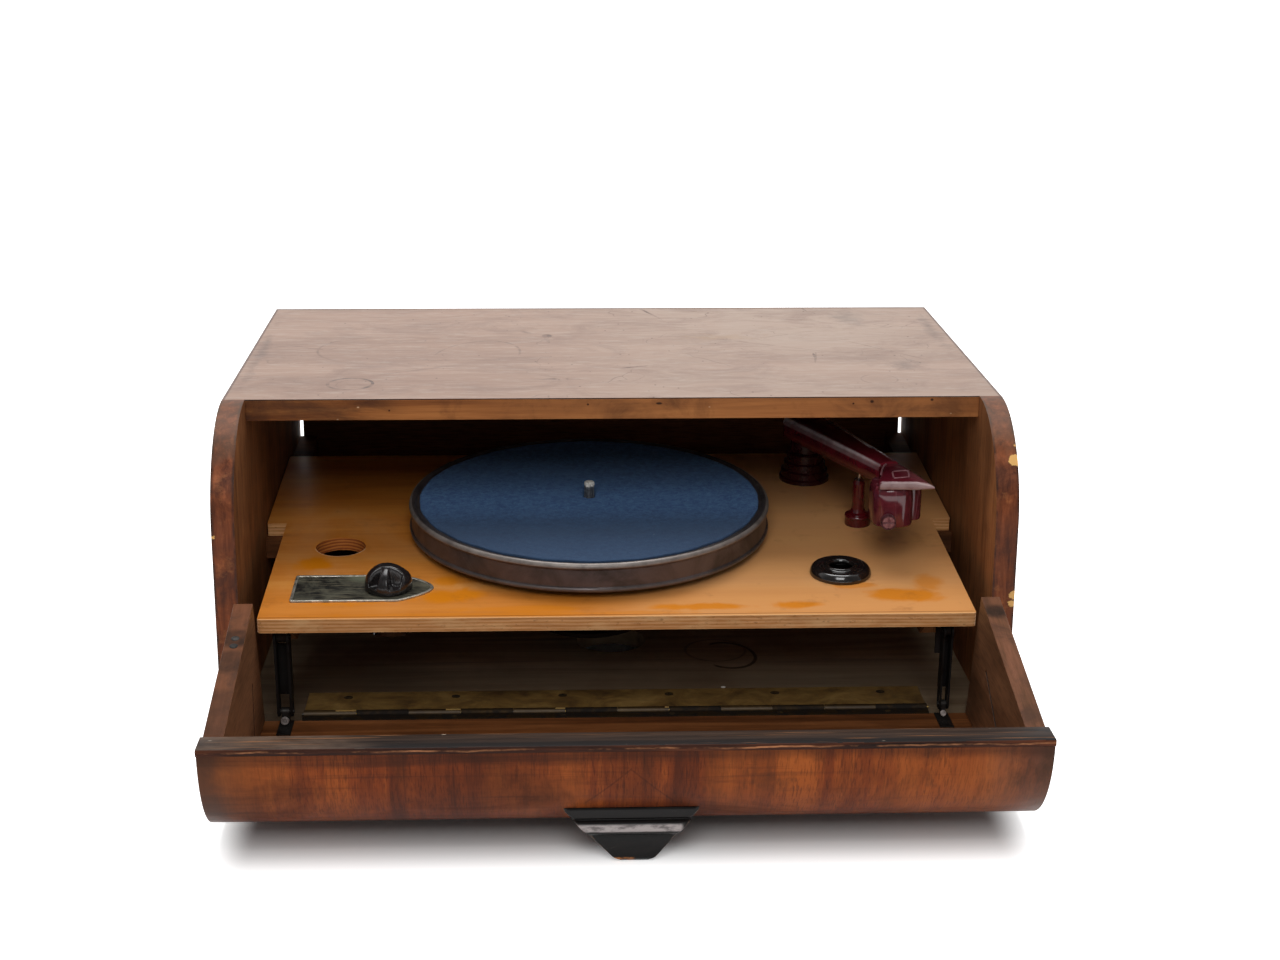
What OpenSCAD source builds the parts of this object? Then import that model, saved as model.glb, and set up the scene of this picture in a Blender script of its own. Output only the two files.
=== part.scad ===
// Table-top electric record player in a wooden cabinet.
// The front flap is shown open, with the motor board drawn forward on its runners.
// X is to the right, Y to the back, Z up, and the table is Z = 0. Inside the modules the closed front
// is the plane Y = 0; centred() then moves the origin under the middle of the whole outline.

/* [Cabinet] */
// Outer width over the side panels
cab_w = 520; // [500:1:540]
// Depth of the side panels
cab_d = 366; // [362:1:380]
// Height of the top above the table
cab_h = 218; // [216:1:224]
// Thickness of a side panel
side_t = 15; // [13:0.5:16]
// Radius of the rounded top front corner
front_r = 70; // [66:1:72]
// Thickness of the top panel
top_t = 14.5; // [12:0.5:15]
// Thickness of the base board
base_t = 12.5; // [12:0.5:13]
// Height of the feet
foot_h = 6.5; // [6.5:0.5:8]
// Thickness of the back panel
back_t = 5; // [4:0.5:6]
// Gap between the back panel and each side panel
back_gap = 3; // [2:0.5:4]
// Diameter of the round hole in the base board
base_hole_d = 50; // [40:1:54]

/* [Flap] */
// Distance of the hinge axis behind the closed front
hinge_y = 8; // [8:0.5:9]
// Length of the piano hinge
hinge_len = 414; // [400:6:420]
// Number of hinge knuckles
knuckle_n = 12; // [10:2:12]
// Thickness of the curved front
curve_t = 14.5; // [12:0.5:15]
// Thickness of a cheek
cheek_t = 12; // [11:0.5:12]
// Height of a cheek at its rear end, above the hinge axis
cheek_h = 91.5; // [80:0.5:92]
// Depth of the lipping strip
lip_depth = 19.4; // [18:0.2:21]
// Thickness of the lipping strip
lip_t = 4; // [3:0.5:4.5]
// Width of the handle where it meets the curved front
handle_w = 82; // [70:1:86]
// Width of the handle at its tip
handle_tip_w = 25; // [20:1:30]

/* [Motor board] */
// Slope of the board and its runners, in degrees
board_slope = 3.8; // [3.5:0.1:4]
// Distance of the board's front edge before the closed front, with the flap open
board_out = 25; // [24:0.5:26]
// Height of the board's front edge above the table
board_z = 98; // [97:0.5:99]
// Length of the board from front to rear
board_len = 311; // [300:1:312]
// Thickness of the board
board_t = 9.2; // [9:0.1:9.5]
// Distance from the front edge to the notches
notch_d = 168; // [165:1:172]
// Travel of the board between flap open and flap shut
board_travel = 48; // [44:1:50]

/* [Turntable] */
// Outer diameter of the platter
platter_d = 252; // [248:1:254]
// Diameter of the record spindle
spindle_d = 7.2; // [7:0.1:7.3]

/* [Pick-up] */
// Slope of the arm as it lies on its rest, in degrees
arm_slope = 4.9; // [4:0.1:5]
// Angle of the arm to the right of straight ahead, in degrees
arm_turn = 16.2; // [15:0.1:17]
// Length of the arm from its upright axis to the head
arm_len = 145; // [143:0.5:146]
// Height of the arm's section
arm_t = 13.5; // [13:0.5:14]
// Diameter of the needle socket
needle_d = 1.6; // [1.5:0.1:1.8]

/* [Hidden] */
$fn = 64;

// Cabinet
half_w = cab_w / 2;
half_in = half_w - side_t;
base_top = foot_h + base_t;
inner_h = cab_h - top_t;
back_y = cab_d - back_t;
play = 0.6;

// Hinge and flap; on the flap, the second coordinate runs from the hinge to the lip, the third inward
leaf_t = 1;
hinge_z = base_top + leaf_t / 2;
knuckle_r = 2.6;
pin_r = 1.2;
pin_bore_r = 1.25;
flap_len = cab_h - hinge_z;
flap_half = half_in - 1.8;
flap_outer = -hinge_y;
flap_inner = -leaf_t / 2;
curve_a = flap_len - front_r;
curve_b = front_r - hinge_y;
lip_b = curve_b - lip_t;
curve_in_r = front_r - curve_t;
cheek_rear_a = 38;
hinge_end_a = 9.5;
base_front = hinge_y + knuckle_r + 0.2;
grommet_out = 2;
lip_proud = 0.3;
mid_y = (cab_d + grommet_out - flap_len - lip_proud + hinge_y) / 2;

// Motor board; on the board, the second coordinate runs from its front edge to the rear, the third up
tongue_half = half_in - 1;
board_half = half_in - 14.8;
runner_w = 14.4;
runner_h = 15;
runner_front = 139;

// Levers between the flap and the board
lever_left_x = -216.5;
lever_right_x = 214.5;
lever_top_y = -12;
lever_top_z = 81.6;
lug_a = 16;
lug_b = 9;
lug_pin_r = 1.5;
lever_lean = 4.31;
slot_near = 46.7;
slot_far = 51.9;

// Turntable
platter_x = -16;
platter_y = 152;
platter_r = platter_d / 2;
mat_top = 25.2;

// Switch
switch_x = -150;
switch_y = 48.5;
plate_t = 1.2;

// Pick-up
arm_x = 148.5;
arm_y = 255;
arm_pin_z = 41;
arm_top = 7;
arm_rear_r = 17;
arm_tip_half = 7.5;
arm_wall = 2.5;

// Finishes
wood_side = [0.36, 0.17, 0.11];
wood_top = [0.55, 0.40, 0.34];
wood_inside = [0.30, 0.18, 0.12];
wood_ply = [0.80, 0.50, 0.20];
wood_dark = [0.20, 0.13, 0.10];
ebony = [0.10, 0.10, 0.10];
brass_aged = [0.40, 0.33, 0.20];
steel_dark = [0.25, 0.25, 0.27];
steel_bright = [0.75, 0.75, 0.76];
rubber = [0.08, 0.08, 0.08];
bakelite_black = [0.09, 0.08, 0.08];
bakelite_maroon = [0.35, 0.08, 0.10];
bronze = [0.30, 0.27, 0.22];
felt_blue = [0.10, 0.16, 0.42];

// Frames of reference; the model's origin is under the middle of its outline on the table
module centred() {
    translate([0, -mid_y, 0]) children();
}

module on_flap() {
    translate([0, hinge_y, hinge_z]) mirror([0, 1, 0]) children();
}

module on_board() {
    translate([0, -board_out, board_z]) rotate([board_slope, 0, 0]) children();
}

module on_arm_foot() {
    on_board() translate([arm_x, arm_y, 0]) rotate([0, 0, arm_turn - 90]) children();
}

module on_arm() {
    on_arm_foot() translate([0, 0, arm_pin_z]) rotate([0, -arm_slope, 0]) children();
}

module on_head() {
    on_board() translate([188, 118, 0]) children();
}

// Extrudes an outline drawn in the Y-Z plane from x0 to x1
module slab_x(x0, x1) {
    translate([x0, 0, 0]) rotate([90, 0, 90]) linear_extrude(x1 - x0) children();
}

// Bar of round section along X
module bar_x(x0, x1, y, z, r) {
    translate([x0, y, z]) rotate([0, 90, 0]) cylinder(h = x1 - x0, r = r);
}

// Countersunk screw with a slotted head, the head's top at the origin and the shank downward
module screw(head_r, shank_r, len) {
    difference() {
        screw_seat(head_r, shank_r, len);
        translate([-head_r, -0.4, -0.5]) cube([2 * head_r, 0.8, 1]);
    }
}

// Seat for such a screw
module screw_seat(head_r, shank_r, len) {
    cone_low = 0.6 - head_r;
    rotate_extrude()
        polygon([[0, 0], [head_r, 0], [head_r, -0.4], [shank_r, cone_low], [shank_r, -len], [0, -len]]);
}

// Side panel with its rounded top front corner
module side_outline() {
    difference() {
        translate([0, foot_h]) square([cab_d, cab_h - foot_h]);
        difference() {
            translate([-1, cab_h - front_r]) square([front_r + 1, front_r + 1]);
            translate([front_r, cab_h - front_r]) circle(front_r, $fn = 180);
        }
    }
}

module side_left() {
    color(wood_side) slab_x(-half_w, -half_in) side_outline();
}

module side_right() {
    color(wood_side) slab_x(half_in, half_w) side_outline();
}

module top_panel() {
    color(wood_top)
        translate([-half_in, front_r + play, inner_h]) cube([2 * half_in, back_y - front_r - play, top_t]);
}

base_screw_x = [-180, -108, -36, 36, 108, 180];
leaf_screw_y = 35;
hole_y = 142;
lug_screw_gap = 4;

module base_board() {
    color(wood_inside) difference() {
        translate([-half_in, base_front, foot_h]) cube([2 * half_in, back_y - base_front, base_t]);
        translate([0, hole_y, foot_h - 1]) cylinder(h = base_t + 2, d = base_hole_d);
        for (x = base_screw_x) translate([x, leaf_screw_y, base_top + leaf_t]) screw_seat(3, 1.4, 9);
        for (x = foot_x, y = foot_y) translate([x, y, foot_h - 1]) cylinder(h = 8, r = foot_screw_r);
    }
}

cable_hole_x = -150;
cable_hole_z = 45;
cable_hole_r = 6;
back_screw_x = [-200, -70, 70, 200];
back_screw_rows = [foot_h + base_t / 2, cab_h - top_t / 2];

module back_panel() {
    color(wood_dark) difference() {
        translate([back_gap - half_in, back_y, foot_h + 1])
            cube([2 * (half_in - back_gap), back_t, cab_h - foot_h - 2]);
        translate([cable_hole_x, back_y - 1, cable_hole_z]) rotate([-90, 0, 0])
            cylinder(h = back_t + 2, r = cable_hole_r);
        for (x = back_screw_x, z = back_screw_rows)
            translate([x, cab_d, z]) rotate([-90, 0, 0]) screw_seat(3, 1.5, back_t);
    }
}

// Rubber grommet of the cable hole
module cable_grommet() {
    color(rubber) translate([cable_hole_x, back_y, cable_hole_z]) rotate([-90, 0, 0]) rotate_extrude()
        polygon([[3.5, -grommet_out], [8.5, -grommet_out], [8.5, 0], [cable_hole_r, 0],
                 [cable_hole_r, back_t], [8.5, back_t], [8.5, back_t + grommet_out],
                 [3.5, back_t + grommet_out]]);
}

// Runner that carries one tongue of the motor board
module runner(x0) {
    color(wood_inside) intersection() {
        on_board() translate([x0, 0, -board_t - runner_h]) cube([runner_w, 2 * cab_d, runner_h]);
        translate([x0 - 1, runner_front, 0]) cube([runner_w + 2, back_y - runner_front, cab_h]);
    }
}

module runner_left() { runner(-half_in); }
module runner_right() { runner(half_in - runner_w); }

// Triangular glue block in the corner between the base and a side panel
glue_y = [150, 330];
glue_s = 18;

module glue_block(side) {
    color(wood_ply) mirror([side < 0 ? 1 : 0, 0, 0]) translate([half_in, glue_y[1], base_top])
        rotate([90, 0, 0]) linear_extrude(glue_y[1] - glue_y[0]) polygon([[0, 0], [-glue_s, 0], [0, glue_s]]);
}

module glue_block_left() { glue_block(-1); }
module glue_block_right() { glue_block(1); }

// Rubber foot with its screw recess
foot_r = 10;
foot_x = [-225, 225];
foot_y = [34, 330];
foot_screw_r = 1.6;

module foot(x, y) {
    color(rubber) translate([x, y, 0]) difference() {
        cylinder(h = foot_h, r1 = foot_r - 1.5, r2 = foot_r, $fn = 48);
        translate([0, 0, -1]) cylinder(h = 4, r = 4);
        translate([0, 0, -1]) cylinder(h = foot_h + 2, r = foot_screw_r);
    }
}

module foot_front_left() { foot(foot_x[0], foot_y[0]); }
module foot_front_right() { foot(foot_x[1], foot_y[0]); }
module foot_rear_left() { foot(foot_x[0], foot_y[1]); }
module foot_rear_right() { foot(foot_x[1], foot_y[1]); }

module back_screws() {
    color(steel_bright) for (x = back_screw_x, z = back_screw_rows)
        translate([x, cab_d, z]) rotate([-90, 0, 0]) screw(3, 1.5, back_t);
}

// Piano hinge: every second knuckle belongs to the rear leaf, the others to the front leaf
knuckle_pitch = hinge_len / knuckle_n;
knuckle_gap = 0.3;
leaf_rear_w = 36;
leaf_front_w = 10;

module knuckles(first) {
    for (i = [first:2:knuckle_n - 1]) {
        x0 = i * knuckle_pitch - hinge_len / 2 + knuckle_gap / 2;
        bar_x(x0, x0 + knuckle_pitch - knuckle_gap, 0, 0, knuckle_r);
    }
}

module knuckle_webs(first, reach) {
    for (i = [first:2:knuckle_n - 1]) {
        x0 = i * knuckle_pitch - hinge_len / 2 + knuckle_gap / 2;
        translate([x0, 0, -leaf_t / 2]) cube([knuckle_pitch - knuckle_gap, reach, leaf_t]);
    }
}

module hinge_leaf_rear() {
    edge = base_front - hinge_y;
    color(brass_aged) translate([0, hinge_y, hinge_z]) difference() {
        union() {
            knuckles(0);
            knuckle_webs(0, edge + 1);
            translate([-hinge_len / 2, edge, -leaf_t / 2]) cube([hinge_len, leaf_rear_w - edge, leaf_t]);
        }
        bar_x(-hinge_len / 2 - 1, hinge_len / 2 + 1, 0, 0, pin_bore_r);
        for (x = base_screw_x) translate([x, leaf_screw_y - hinge_y, leaf_t / 2]) screw_seat(3, 1.4, 3);
    }
}

module hinge_pin() {
    color(brass_aged) bar_x(-hinge_len / 2 - 1, hinge_len / 2 + 1, hinge_y, hinge_z, pin_r);
}

module hinge_screws_rear() {
    color(brass_aged) for (x = base_screw_x)
        translate([x, leaf_screw_y, base_top + leaf_t]) screw(3, 1.4, 8.5);
}

leaf_front_screw_a = 7;
leaf_front_start = 3.4;

module hinge_leaf_front() {
    color(brass_aged) on_flap() difference() {
        union() {
            knuckles(1);
            knuckle_webs(1, leaf_front_start + 0.2);
            translate([-hinge_len / 2, leaf_front_start, -leaf_t / 2])
                cube([hinge_len, leaf_front_w - leaf_front_start, leaf_t]);
        }
        bar_x(-hinge_len / 2 - 1, hinge_len / 2 + 1, 0, 0, pin_bore_r);
        for (x = base_screw_x) translate([x, leaf_front_screw_a, leaf_t / 2]) screw_seat(2, 1.1, 3);
    }
}

module hinge_screws_front() {
    color(brass_aged) on_flap() for (x = base_screw_x)
        translate([x, leaf_front_screw_a, leaf_t / 2]) screw(2, 1.1, 6);
}

// Flap: flat floor, curved front, lipping strip, two cheeks and the handle
module flap_floor() {
    thick = flap_inner - flap_outer;
    color(wood_side) on_flap() difference() {
        translate([-flap_half, leaf_front_start, flap_outer])
            cube([2 * flap_half, curve_a - leaf_front_start, thick]);
        for (s = [-1, 1])
            translate([s > 0 ? hinge_len / 2 : -flap_half - 1, 0, flap_outer - 1])
                cube([flap_half + 1 - hinge_len / 2, hinge_end_a, thick + 2]);
        for (x = base_screw_x) translate([x, leaf_front_screw_a, leaf_t / 2]) screw_seat(2, 1.1, 6.5);
        for (s = [-1, 1], a = lug_screws)
            translate([lever_x(s), a, flap_inner + lug_foot_t]) screw_seat(2.4, 1.2, 7);
    }
}

module curve_disc(r) {
    translate([curve_a, curve_b]) circle(r, $fn = 180);
}

module flap_curve() {
    color(wood_side) on_flap() slab_x(-flap_half, flap_half) intersection() {
        difference() {
            curve_disc(front_r);
            curve_disc(curve_in_r);
        }
        translate([curve_a, flap_outer - 1]) square([front_r + 1, lip_b - flap_outer + 1]);
    }
}

lip_half = half_in - 1.4;

module flap_lipping() {
    color(ebony) on_flap() slab_x(-lip_half, lip_half) difference() {
        translate([flap_len - lip_depth, lip_b]) square([lip_depth + lip_proud, lip_t]);
        translate([flap_len + lip_proud, lip_b]) rotate(45) square(1.2, center = true);
    }
}

// Cheek, standing on the floor inside the curve and under the strip
module cheek_outline() {
    intersection() {
        polygon([[hinge_end_a, flap_inner], [cheek_rear_a, cheek_h], [flap_len - lip_depth, lip_b],
                 [flap_len, lip_b], [flap_len, flap_inner]]);
        union() {
            translate([0, flap_inner]) square([curve_a, cheek_h]);
            translate([0, curve_b]) square([curve_a + curve_in_r, cheek_h]);
            curve_disc(curve_in_r);
        }
    }
}

groove_start = [50, 51];
groove_end = [118, 8];
groove_w = 2.6;
groove_depth = 1.2;
cheek_screw_a = [76, 84];

module cheek(side) {
    inner = flap_half - cheek_t;
    run = groove_end - groove_start;
    color(wood_inside) on_flap() mirror([side < 0 ? 1 : 0, 0, 0]) difference() {
        slab_x(inner, flap_half) cheek_outline();
        translate([inner - 1, groove_start[0], groove_start[1]]) rotate([atan2(run[1], run[0]), 0, 0])
            translate([0, 0, -groove_w / 2]) cube([1 + groove_depth, norm(run), groove_w]);
        if (side < 0) for (a = cheek_screw_a) cheek_screw_place(a) screw_seat(2.6, 1.3, 14);
    }
}

// Place of a screw in the sloping top edge of a cheek, on the right-hand cheek
module cheek_screw_place(a) {
    fall = atan2(lip_b - cheek_h, flap_len - lip_depth - cheek_rear_a);
    b = cheek_h + (a - cheek_rear_a) * tan(fall);
    translate([flap_half - cheek_t / 2, a, b]) rotate([fall, 0, 0]) children();
}

module cheek_left() { cheek(-1); }
module cheek_right() { cheek(1); }

module cheek_screws() {
    color(steel_bright) on_flap() mirror([1, 0, 0])
        for (a = cheek_screw_a) cheek_screw_place(a) screw(2.6, 1.3, 13);
}

// Handle: a pull that narrows to its tip, with a finger ridge across it
handle_x = 2;
handle_top_b = 15.3;
handle_tip_b = 0.3 - hinge_z;
handle_front_a = 181.5;
handle_rear_a = 159;
ridge_b = 3.2;
ridge_r = 4.2;

module handle_outline() {
    w0 = handle_w / 2;
    w1 = handle_tip_w / 2;
    cut = 3;
    polygon([[-w0, handle_top_b], [-w1 - cut, handle_tip_b + 1.2 * cut], [-w1 + cut / 2, handle_tip_b],
             [w1 - cut / 2, handle_tip_b], [w1 + cut, handle_tip_b + 1.2 * cut], [w0, handle_top_b]]);
}

// Half the outline of a bar with round ends, to be turned about its length
module ridge_half_outline() {
    ridge_half = handle_w / 3 - 1;
    intersection() {
        union() {
            translate([0, -ridge_half]) square([ridge_r, 2 * ridge_half]);
            for (s = [-1, 1]) translate([0, s * ridge_half]) circle(ridge_r);
        }
        translate([0, -handle_w]) square([2 * ridge_r, 2 * handle_w]);
    }
}

module flap_handle() {
    color(ebony) on_flap() difference() {
        union() {
            translate([handle_x, handle_front_a, 0]) rotate([90, 0, 0])
                linear_extrude(handle_front_a - handle_rear_a) handle_outline();
            translate([handle_x, handle_front_a - 1, ridge_b]) rotate([0, 90, 0]) rotate_extrude()
                ridge_half_outline();
        }
        translate([-flap_half, curve_a, curve_b]) rotate([0, 90, 0])
            cylinder(h = 2 * flap_half, r = front_r, $fn = 180);
    }
}

// Lug on the flap's floor with the pin that rides in the lever's slot
lug_t = 5;
lug_foot_t = 1;
lug_screws = [24, 30];
lug_r = 2.8;

module lug(side, thick) {
    color(steel_dark) on_flap() translate([lever_x(side), 0, 0]) {
        difference() {
            union() {
                translate([-4.5, 11, flap_inner]) cube([9, 23, lug_foot_t]);
                slab_x(-thick / 2, thick / 2) union() {
                    translate([lug_a, lug_b]) circle(lug_r);
                    translate([lug_a - lug_r, flap_inner]) square([2 * lug_r, lug_b - flap_inner]);
                }
            }
            for (a = lug_screws) translate([0, a, flap_inner + lug_foot_t]) screw_seat(2.4, 1.2, 3);
        }
        bar_x(-pin_reach(side), pin_reach(side), lug_a, lug_b, lug_pin_r);
        for (a = lug_screws) translate([0, a, flap_inner + lug_foot_t]) screw(2.4, 1.2, 6.5);
    }
}

function lever_x(side) = side < 0 ? lever_left_x : lever_right_x;
function lever_w(side) = side < 0 ? 10 : 6.4;
function lever_wall(side) = side < 0 ? 1.6 : 1.2;
function pin_reach(side) = lever_w(side) / 2 + 0.6;

module lug_left() { lug(-1, lug_t); }
module lug_right() { lug(1, 3); }

// Lever: a folded channel hung from the board, with a slot for the pin on the flap
lever_top_r = 6;
lever_end_r = 4.7;
lever_pin_r = 1.5;
lever_bore_r = 1.56;
slot_half = 3.2;
web_in = 4.6;
web_low = 43;
web_high = 7;

module lever_flange() {
    difference() {
        union() {
            circle(lever_top_r);
            translate([-lever_end_r, -slot_far]) square([2 * lever_end_r, slot_far]);
            translate([0, -web_low]) square([lever_top_r, web_low]);
            translate([0, -slot_far]) circle(lever_end_r);
        }
        circle(lever_bore_r);
        translate([-slot_half, -slot_far]) square([2 * slot_half, slot_far - slot_near]);
        translate([0, -slot_far]) circle(slot_half);
        translate([0, -slot_near]) circle(slot_half);
    }
}

module lever(side) {
    w = lever_w(side);
    wall = lever_wall(side);
    color(steel_dark) translate([lever_x(side), lever_top_y, lever_top_z]) rotate([lever_lean, 0, 0]) {
        slab_x(-w / 2, wall - w / 2) lever_flange();
        slab_x(w / 2 - wall, w / 2) lever_flange();
        translate([wall - w / 2, web_in, -web_low])
            cube([w - 2 * wall, lever_top_r - web_in, web_low - web_high]);
    }
}

module lever_left() { lever(-1); }
module lever_right() { lever(1); }

// Motor board with tongues that lie on the runners
corner_r = 6;
cup_x = 151;
cup_y = 68;
cup_hole_r = 17;
spare_x = -188;
spare_y = 123;
motor_bolt_r = 62;
motor_bolt_angles = [90, 210, 330];
rest_x = 175.5;
rest_y = 159.5;

module board_outline() {
    union() {
        translate([-board_half, corner_r]) square([2 * board_half, board_len - corner_r]);
        translate([corner_r - board_half, 0]) square([2 * (board_half - corner_r), corner_r]);
        for (s = [-1, 1]) translate([s * (board_half - corner_r), corner_r]) circle(corner_r);
        translate([-tongue_half, notch_d]) square([2 * tongue_half, board_len - notch_d]);
    }
}

module motor_board() {
    scribe = 0.7;
    color(wood_ply) on_board() difference() {
        translate([0, 0, -board_t]) linear_extrude(board_t) board_outline();
        translate([spare_x, spare_y, -board_t - 1]) cylinder(h = board_t + 2, r = cup_hole_r);
        translate([cup_x, cup_y, -board_t - 1]) cylinder(h = board_t + 2, r = cup_hole_r);
        translate([platter_x, platter_y, -board_t - 1]) cylinder(h = board_t + 2, r = 9);
        translate([switch_x, switch_y, -board_t - 1]) cylinder(h = board_t + 2, r = 4);
        translate([arm_x, arm_y, -board_t - 1]) cylinder(h = board_t + 2, r = 6);
        translate([rest_x, rest_y, -board_t - 1]) cylinder(h = board_t + 2, r = 2);
        translate([-board_half - 1, 3.2, -scribe]) cube([2 * board_half + 2, scribe, scribe + 1]);
        for (t = motor_bolt_angles)
            translate([platter_x + motor_bolt_r * cos(t), platter_y + motor_bolt_r * sin(t), -board_t - 1])
                cylinder(h = board_t + 2, r = 2.6);
    }
}

// Bracket under the board that carries a lever
module bracket(side) {
    w = lever_w(side) - 2 * lever_wall(side) - 0.8;
    foot_y0 = lever_top_y - 7;
    drop = 3.2;
    color(steel_dark) {
        on_board() translate([lever_x(side) - 8, 4, -board_t - 1.5]) difference() {
            cube([16, 26, 1.5]);
            for (d = [18, 23]) translate([8, d, -1]) cylinder(h = 4, r = 1.2);
        }
        difference() {
            intersection() {
                translate([lever_x(side), 0, 0]) slab_x(-w / 2, w / 2) union() {
                    translate([lever_top_y, lever_top_z]) circle(drop);
                    translate([lever_top_y - drop, lever_top_z]) square([2 * drop, 12]);
                }
                on_board() translate([-half_w, -5, -board_t - 40]) cube([cab_w, 60, 38.6]);
            }
            bar_x(-half_w, half_w, lever_top_y, lever_top_z, lever_pin_r);
        }
        translate([lever_x(side), 0, 0])
            bar_x(-lever_w(side) / 2 - 0.8, lever_w(side) / 2 + 0.8, lever_top_y, lever_top_z, lever_pin_r);
        if (side > 0) on_board() translate([lever_x(side) - 6, 20, -board_t - 28]) cube([11, 1.5, 27]);
    }
}

module bracket_left() { bracket(-1); }
module bracket_right() { bracket(1); }

// Motor hung under the board on three bolts
frame_z = -22;
frame_t = 3;
motor_r = 46;
motor_low = -66;

module motor_place() {
    on_board() translate([platter_x, platter_y, 0]) children();
}

module motor_frame() {
    color(steel_dark) motor_place() difference() {
        union() {
            translate([0, 0, frame_z]) cylinder(h = frame_t, r = motor_r + 2, $fn = 96);
            for (t = motor_bolt_angles) rotate(t) {
                translate([0, -8, frame_z]) cube([motor_bolt_r, 16, frame_t]);
                translate([motor_bolt_r, 0, frame_z]) cylinder(h = frame_t, r = 8);
            }
            translate([0, 0, motor_low]) cylinder(h = frame_t, r = motor_r - 6, $fn = 96);
        }
        for (t = motor_bolt_angles) rotate(t) translate([motor_bolt_r, 0, frame_z - 1])
            cylinder(h = frame_t + 2, r = 2.2);
        translate([0, 0, frame_z - 1]) cylinder(h = frame_t + 2, r = 8);
    }
}

// Laminated stator with a winding on each of four poles
module motor_stator() {
    top = frame_z;
    low = motor_low + frame_t;
    mid = (top + low) / 2;
    color([0.35, 0.30, 0.26]) motor_place() difference() {
        union() {
            translate([0, 0, mid - 10]) cylinder(h = 20, r = motor_r, $fn = 96);
            translate([0, 0, low]) cylinder(h = top - low, r = motor_r - 12, $fn = 96);
        }
        for (t = [45:90:315]) rotate(t) translate([motor_r - 3, 0, mid - 11]) cylinder(h = 22, r = 2);
        translate([0, 0, frame_z - 12]) cylinder(h = 13, r = 8);
    }
}

// Bearing tube between the motor and the platter
module motor_bearing() {
    color(steel_dark) motor_place() difference() {
        translate([0, 0, frame_z - 12]) cylinder(h = 9 - frame_z + 12, r = 7.8);
        translate([0, 0, frame_z - 10]) cylinder(h = 9 - frame_z + 20, r = 5.06);
    }
}

// Bolts with rubber bushes that hold the motor away from the board
module motor_bolts() {
    color(steel_bright) motor_place() for (t = motor_bolt_angles) rotate(t) translate([motor_bolt_r, 0, 0]) {
        translate([0, 0, frame_z - 5]) cylinder(h = 5.8 - frame_z, r = 2.15);
        translate([0, 0, 0]) cylinder(h = 2, r1 = 4.6, r2 = 3.4);
        translate([0, 0, frame_z - 4]) cylinder(h = 4, r = 4, $fn = 6);
        translate([0, 0, frame_z + frame_t]) cylinder(h = -board_t - frame_z - frame_t, r = 6);
    }
}

// Plate under the switch knob, left bare
module switch_plate() {
    plate_w = 43;
    color(ebony) on_board() translate([0, switch_y, 0]) linear_extrude(plate_t) difference() {
        union() {
            translate([-212.7, -plate_w / 2]) square([212.7 - 142.5, plate_w]);
            translate([-142.5, 0]) circle(plate_w / 2);
        }
        translate([switch_x, 0]) circle(4);
        for (p = [[-209, 17.5], [-209, -17.5], [-126, 0]]) translate(p) circle(1.1);
    }
}

// Switch under the board, with its fixed bush and terminals
module switch_body() {
    color(bakelite_black) on_board() translate([switch_x, switch_y, 0]) difference() {
        union() {
            translate([0, 0, -board_t - 18]) cylinder(h = 18, r = 16);
            translate([0, 0, -board_t - 1]) cylinder(h = board_t + 1, r = 3.95);
            for (s = [-1, 1]) translate([s * 8 - 2, -2, -board_t - 24]) cube([4, 4, 7]);
        }
        translate([0, 0, -board_t - 12]) cylinder(h = board_t + 14, r = 2.56);
    }
}

// Needle cup let into the board, its rim drawn in to a round mouth
module needle_cup() {
    color(bakelite_black) on_board() translate([cup_x, cup_y, 0]) rotate_extrude() difference() {
        union() {
            polygon([[0, -16], [cup_hole_r - 0.2, -16], [cup_hole_r - 0.2, 0], [20.5, 0], [20.5, 2.2],
                     [19.4, 3.2], [18.4, 5.6], [16.8, 6.7], [12, 6.1], [9.6, 6.9], [0, 6.9]]);
        }
        polygon([[0, -14], [14.5, -14], [14.8, -1], [12, 3.2], [8.6, 4.2], [7.6, 5.4], [7.6, 8], [0, 8]]);
    }
}

// Stepped foot of the pick-up arm
module arm_base() {
    color(bakelite_maroon) on_board() translate([arm_x, arm_y, 0]) rotate_extrude()
        polygon([[6, -board_t], [9, -board_t], [9, -board_t - 3], [4.06, -board_t - 3], [4.06, 22],
                 [12.5, 22], [13.5, 21], [13.5, 15], [15.5, 14], [15.5, 9], [17.3, 8], [17.3, 3.6],
                 [18.6, 2.6], [18.6, 0], [6, 0]]);
}

// Post on which the arm lies, with a turned foot
module arm_rest_post() {
    color(bakelite_maroon) on_board() translate([rest_x, rest_y, 0]) difference() {
        rotate_extrude() union() {
            polygon([[0, 0], [9, 0], [9, 6.2], [7.4, 8.4], [5.6, 9.6], [4.6, 12], [4.3, 31],
                     [3.4, 33.5], [0, 33.5]]);
            translate([7.4, 6.4]) circle(1.9, $fn = 32);
        }
        translate([0, 0, 24]) cylinder(h = 12, r = 1.2);
    }
}

// Chrome pin with a ball, and the fixing screw from below
module arm_rest_pin() {
    ball_top = 42.6;
    color(steel_bright) on_board() translate([rest_x, rest_y, 0]) {
        translate([0, 0, 24]) cylinder(h = 16, r = 1.2);
        translate([0, 0, 33.5]) cylinder(h = 1.4, r1 = 3, r2 = 2);
        translate([0, 0, ball_top - 2]) sphere(2);
    }
}

// Pressed platter with a beaded rim, open below
module platter() {
    color(bronze) motor_place() rotate_extrude($fn = 128) union() {
        polygon([[3.8, 12], [13, 12], [14, 20], [14, 21.4], [120.4, 21.4], [122.6, 20.2], [122.6, 6],
                 [124.6, 6],
                 [124.8, 22.6], [123.6, 24.4], [121.6, 24.4], [120.8, 23.4], [3.8, 23.4]]);
        translate([platter_r - 2.5, 22.7]) circle(2.5, $fn = 48);
        translate([platter_r - 1.9, 6.9]) circle(1.9, $fn = 40);
    }
}

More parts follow.
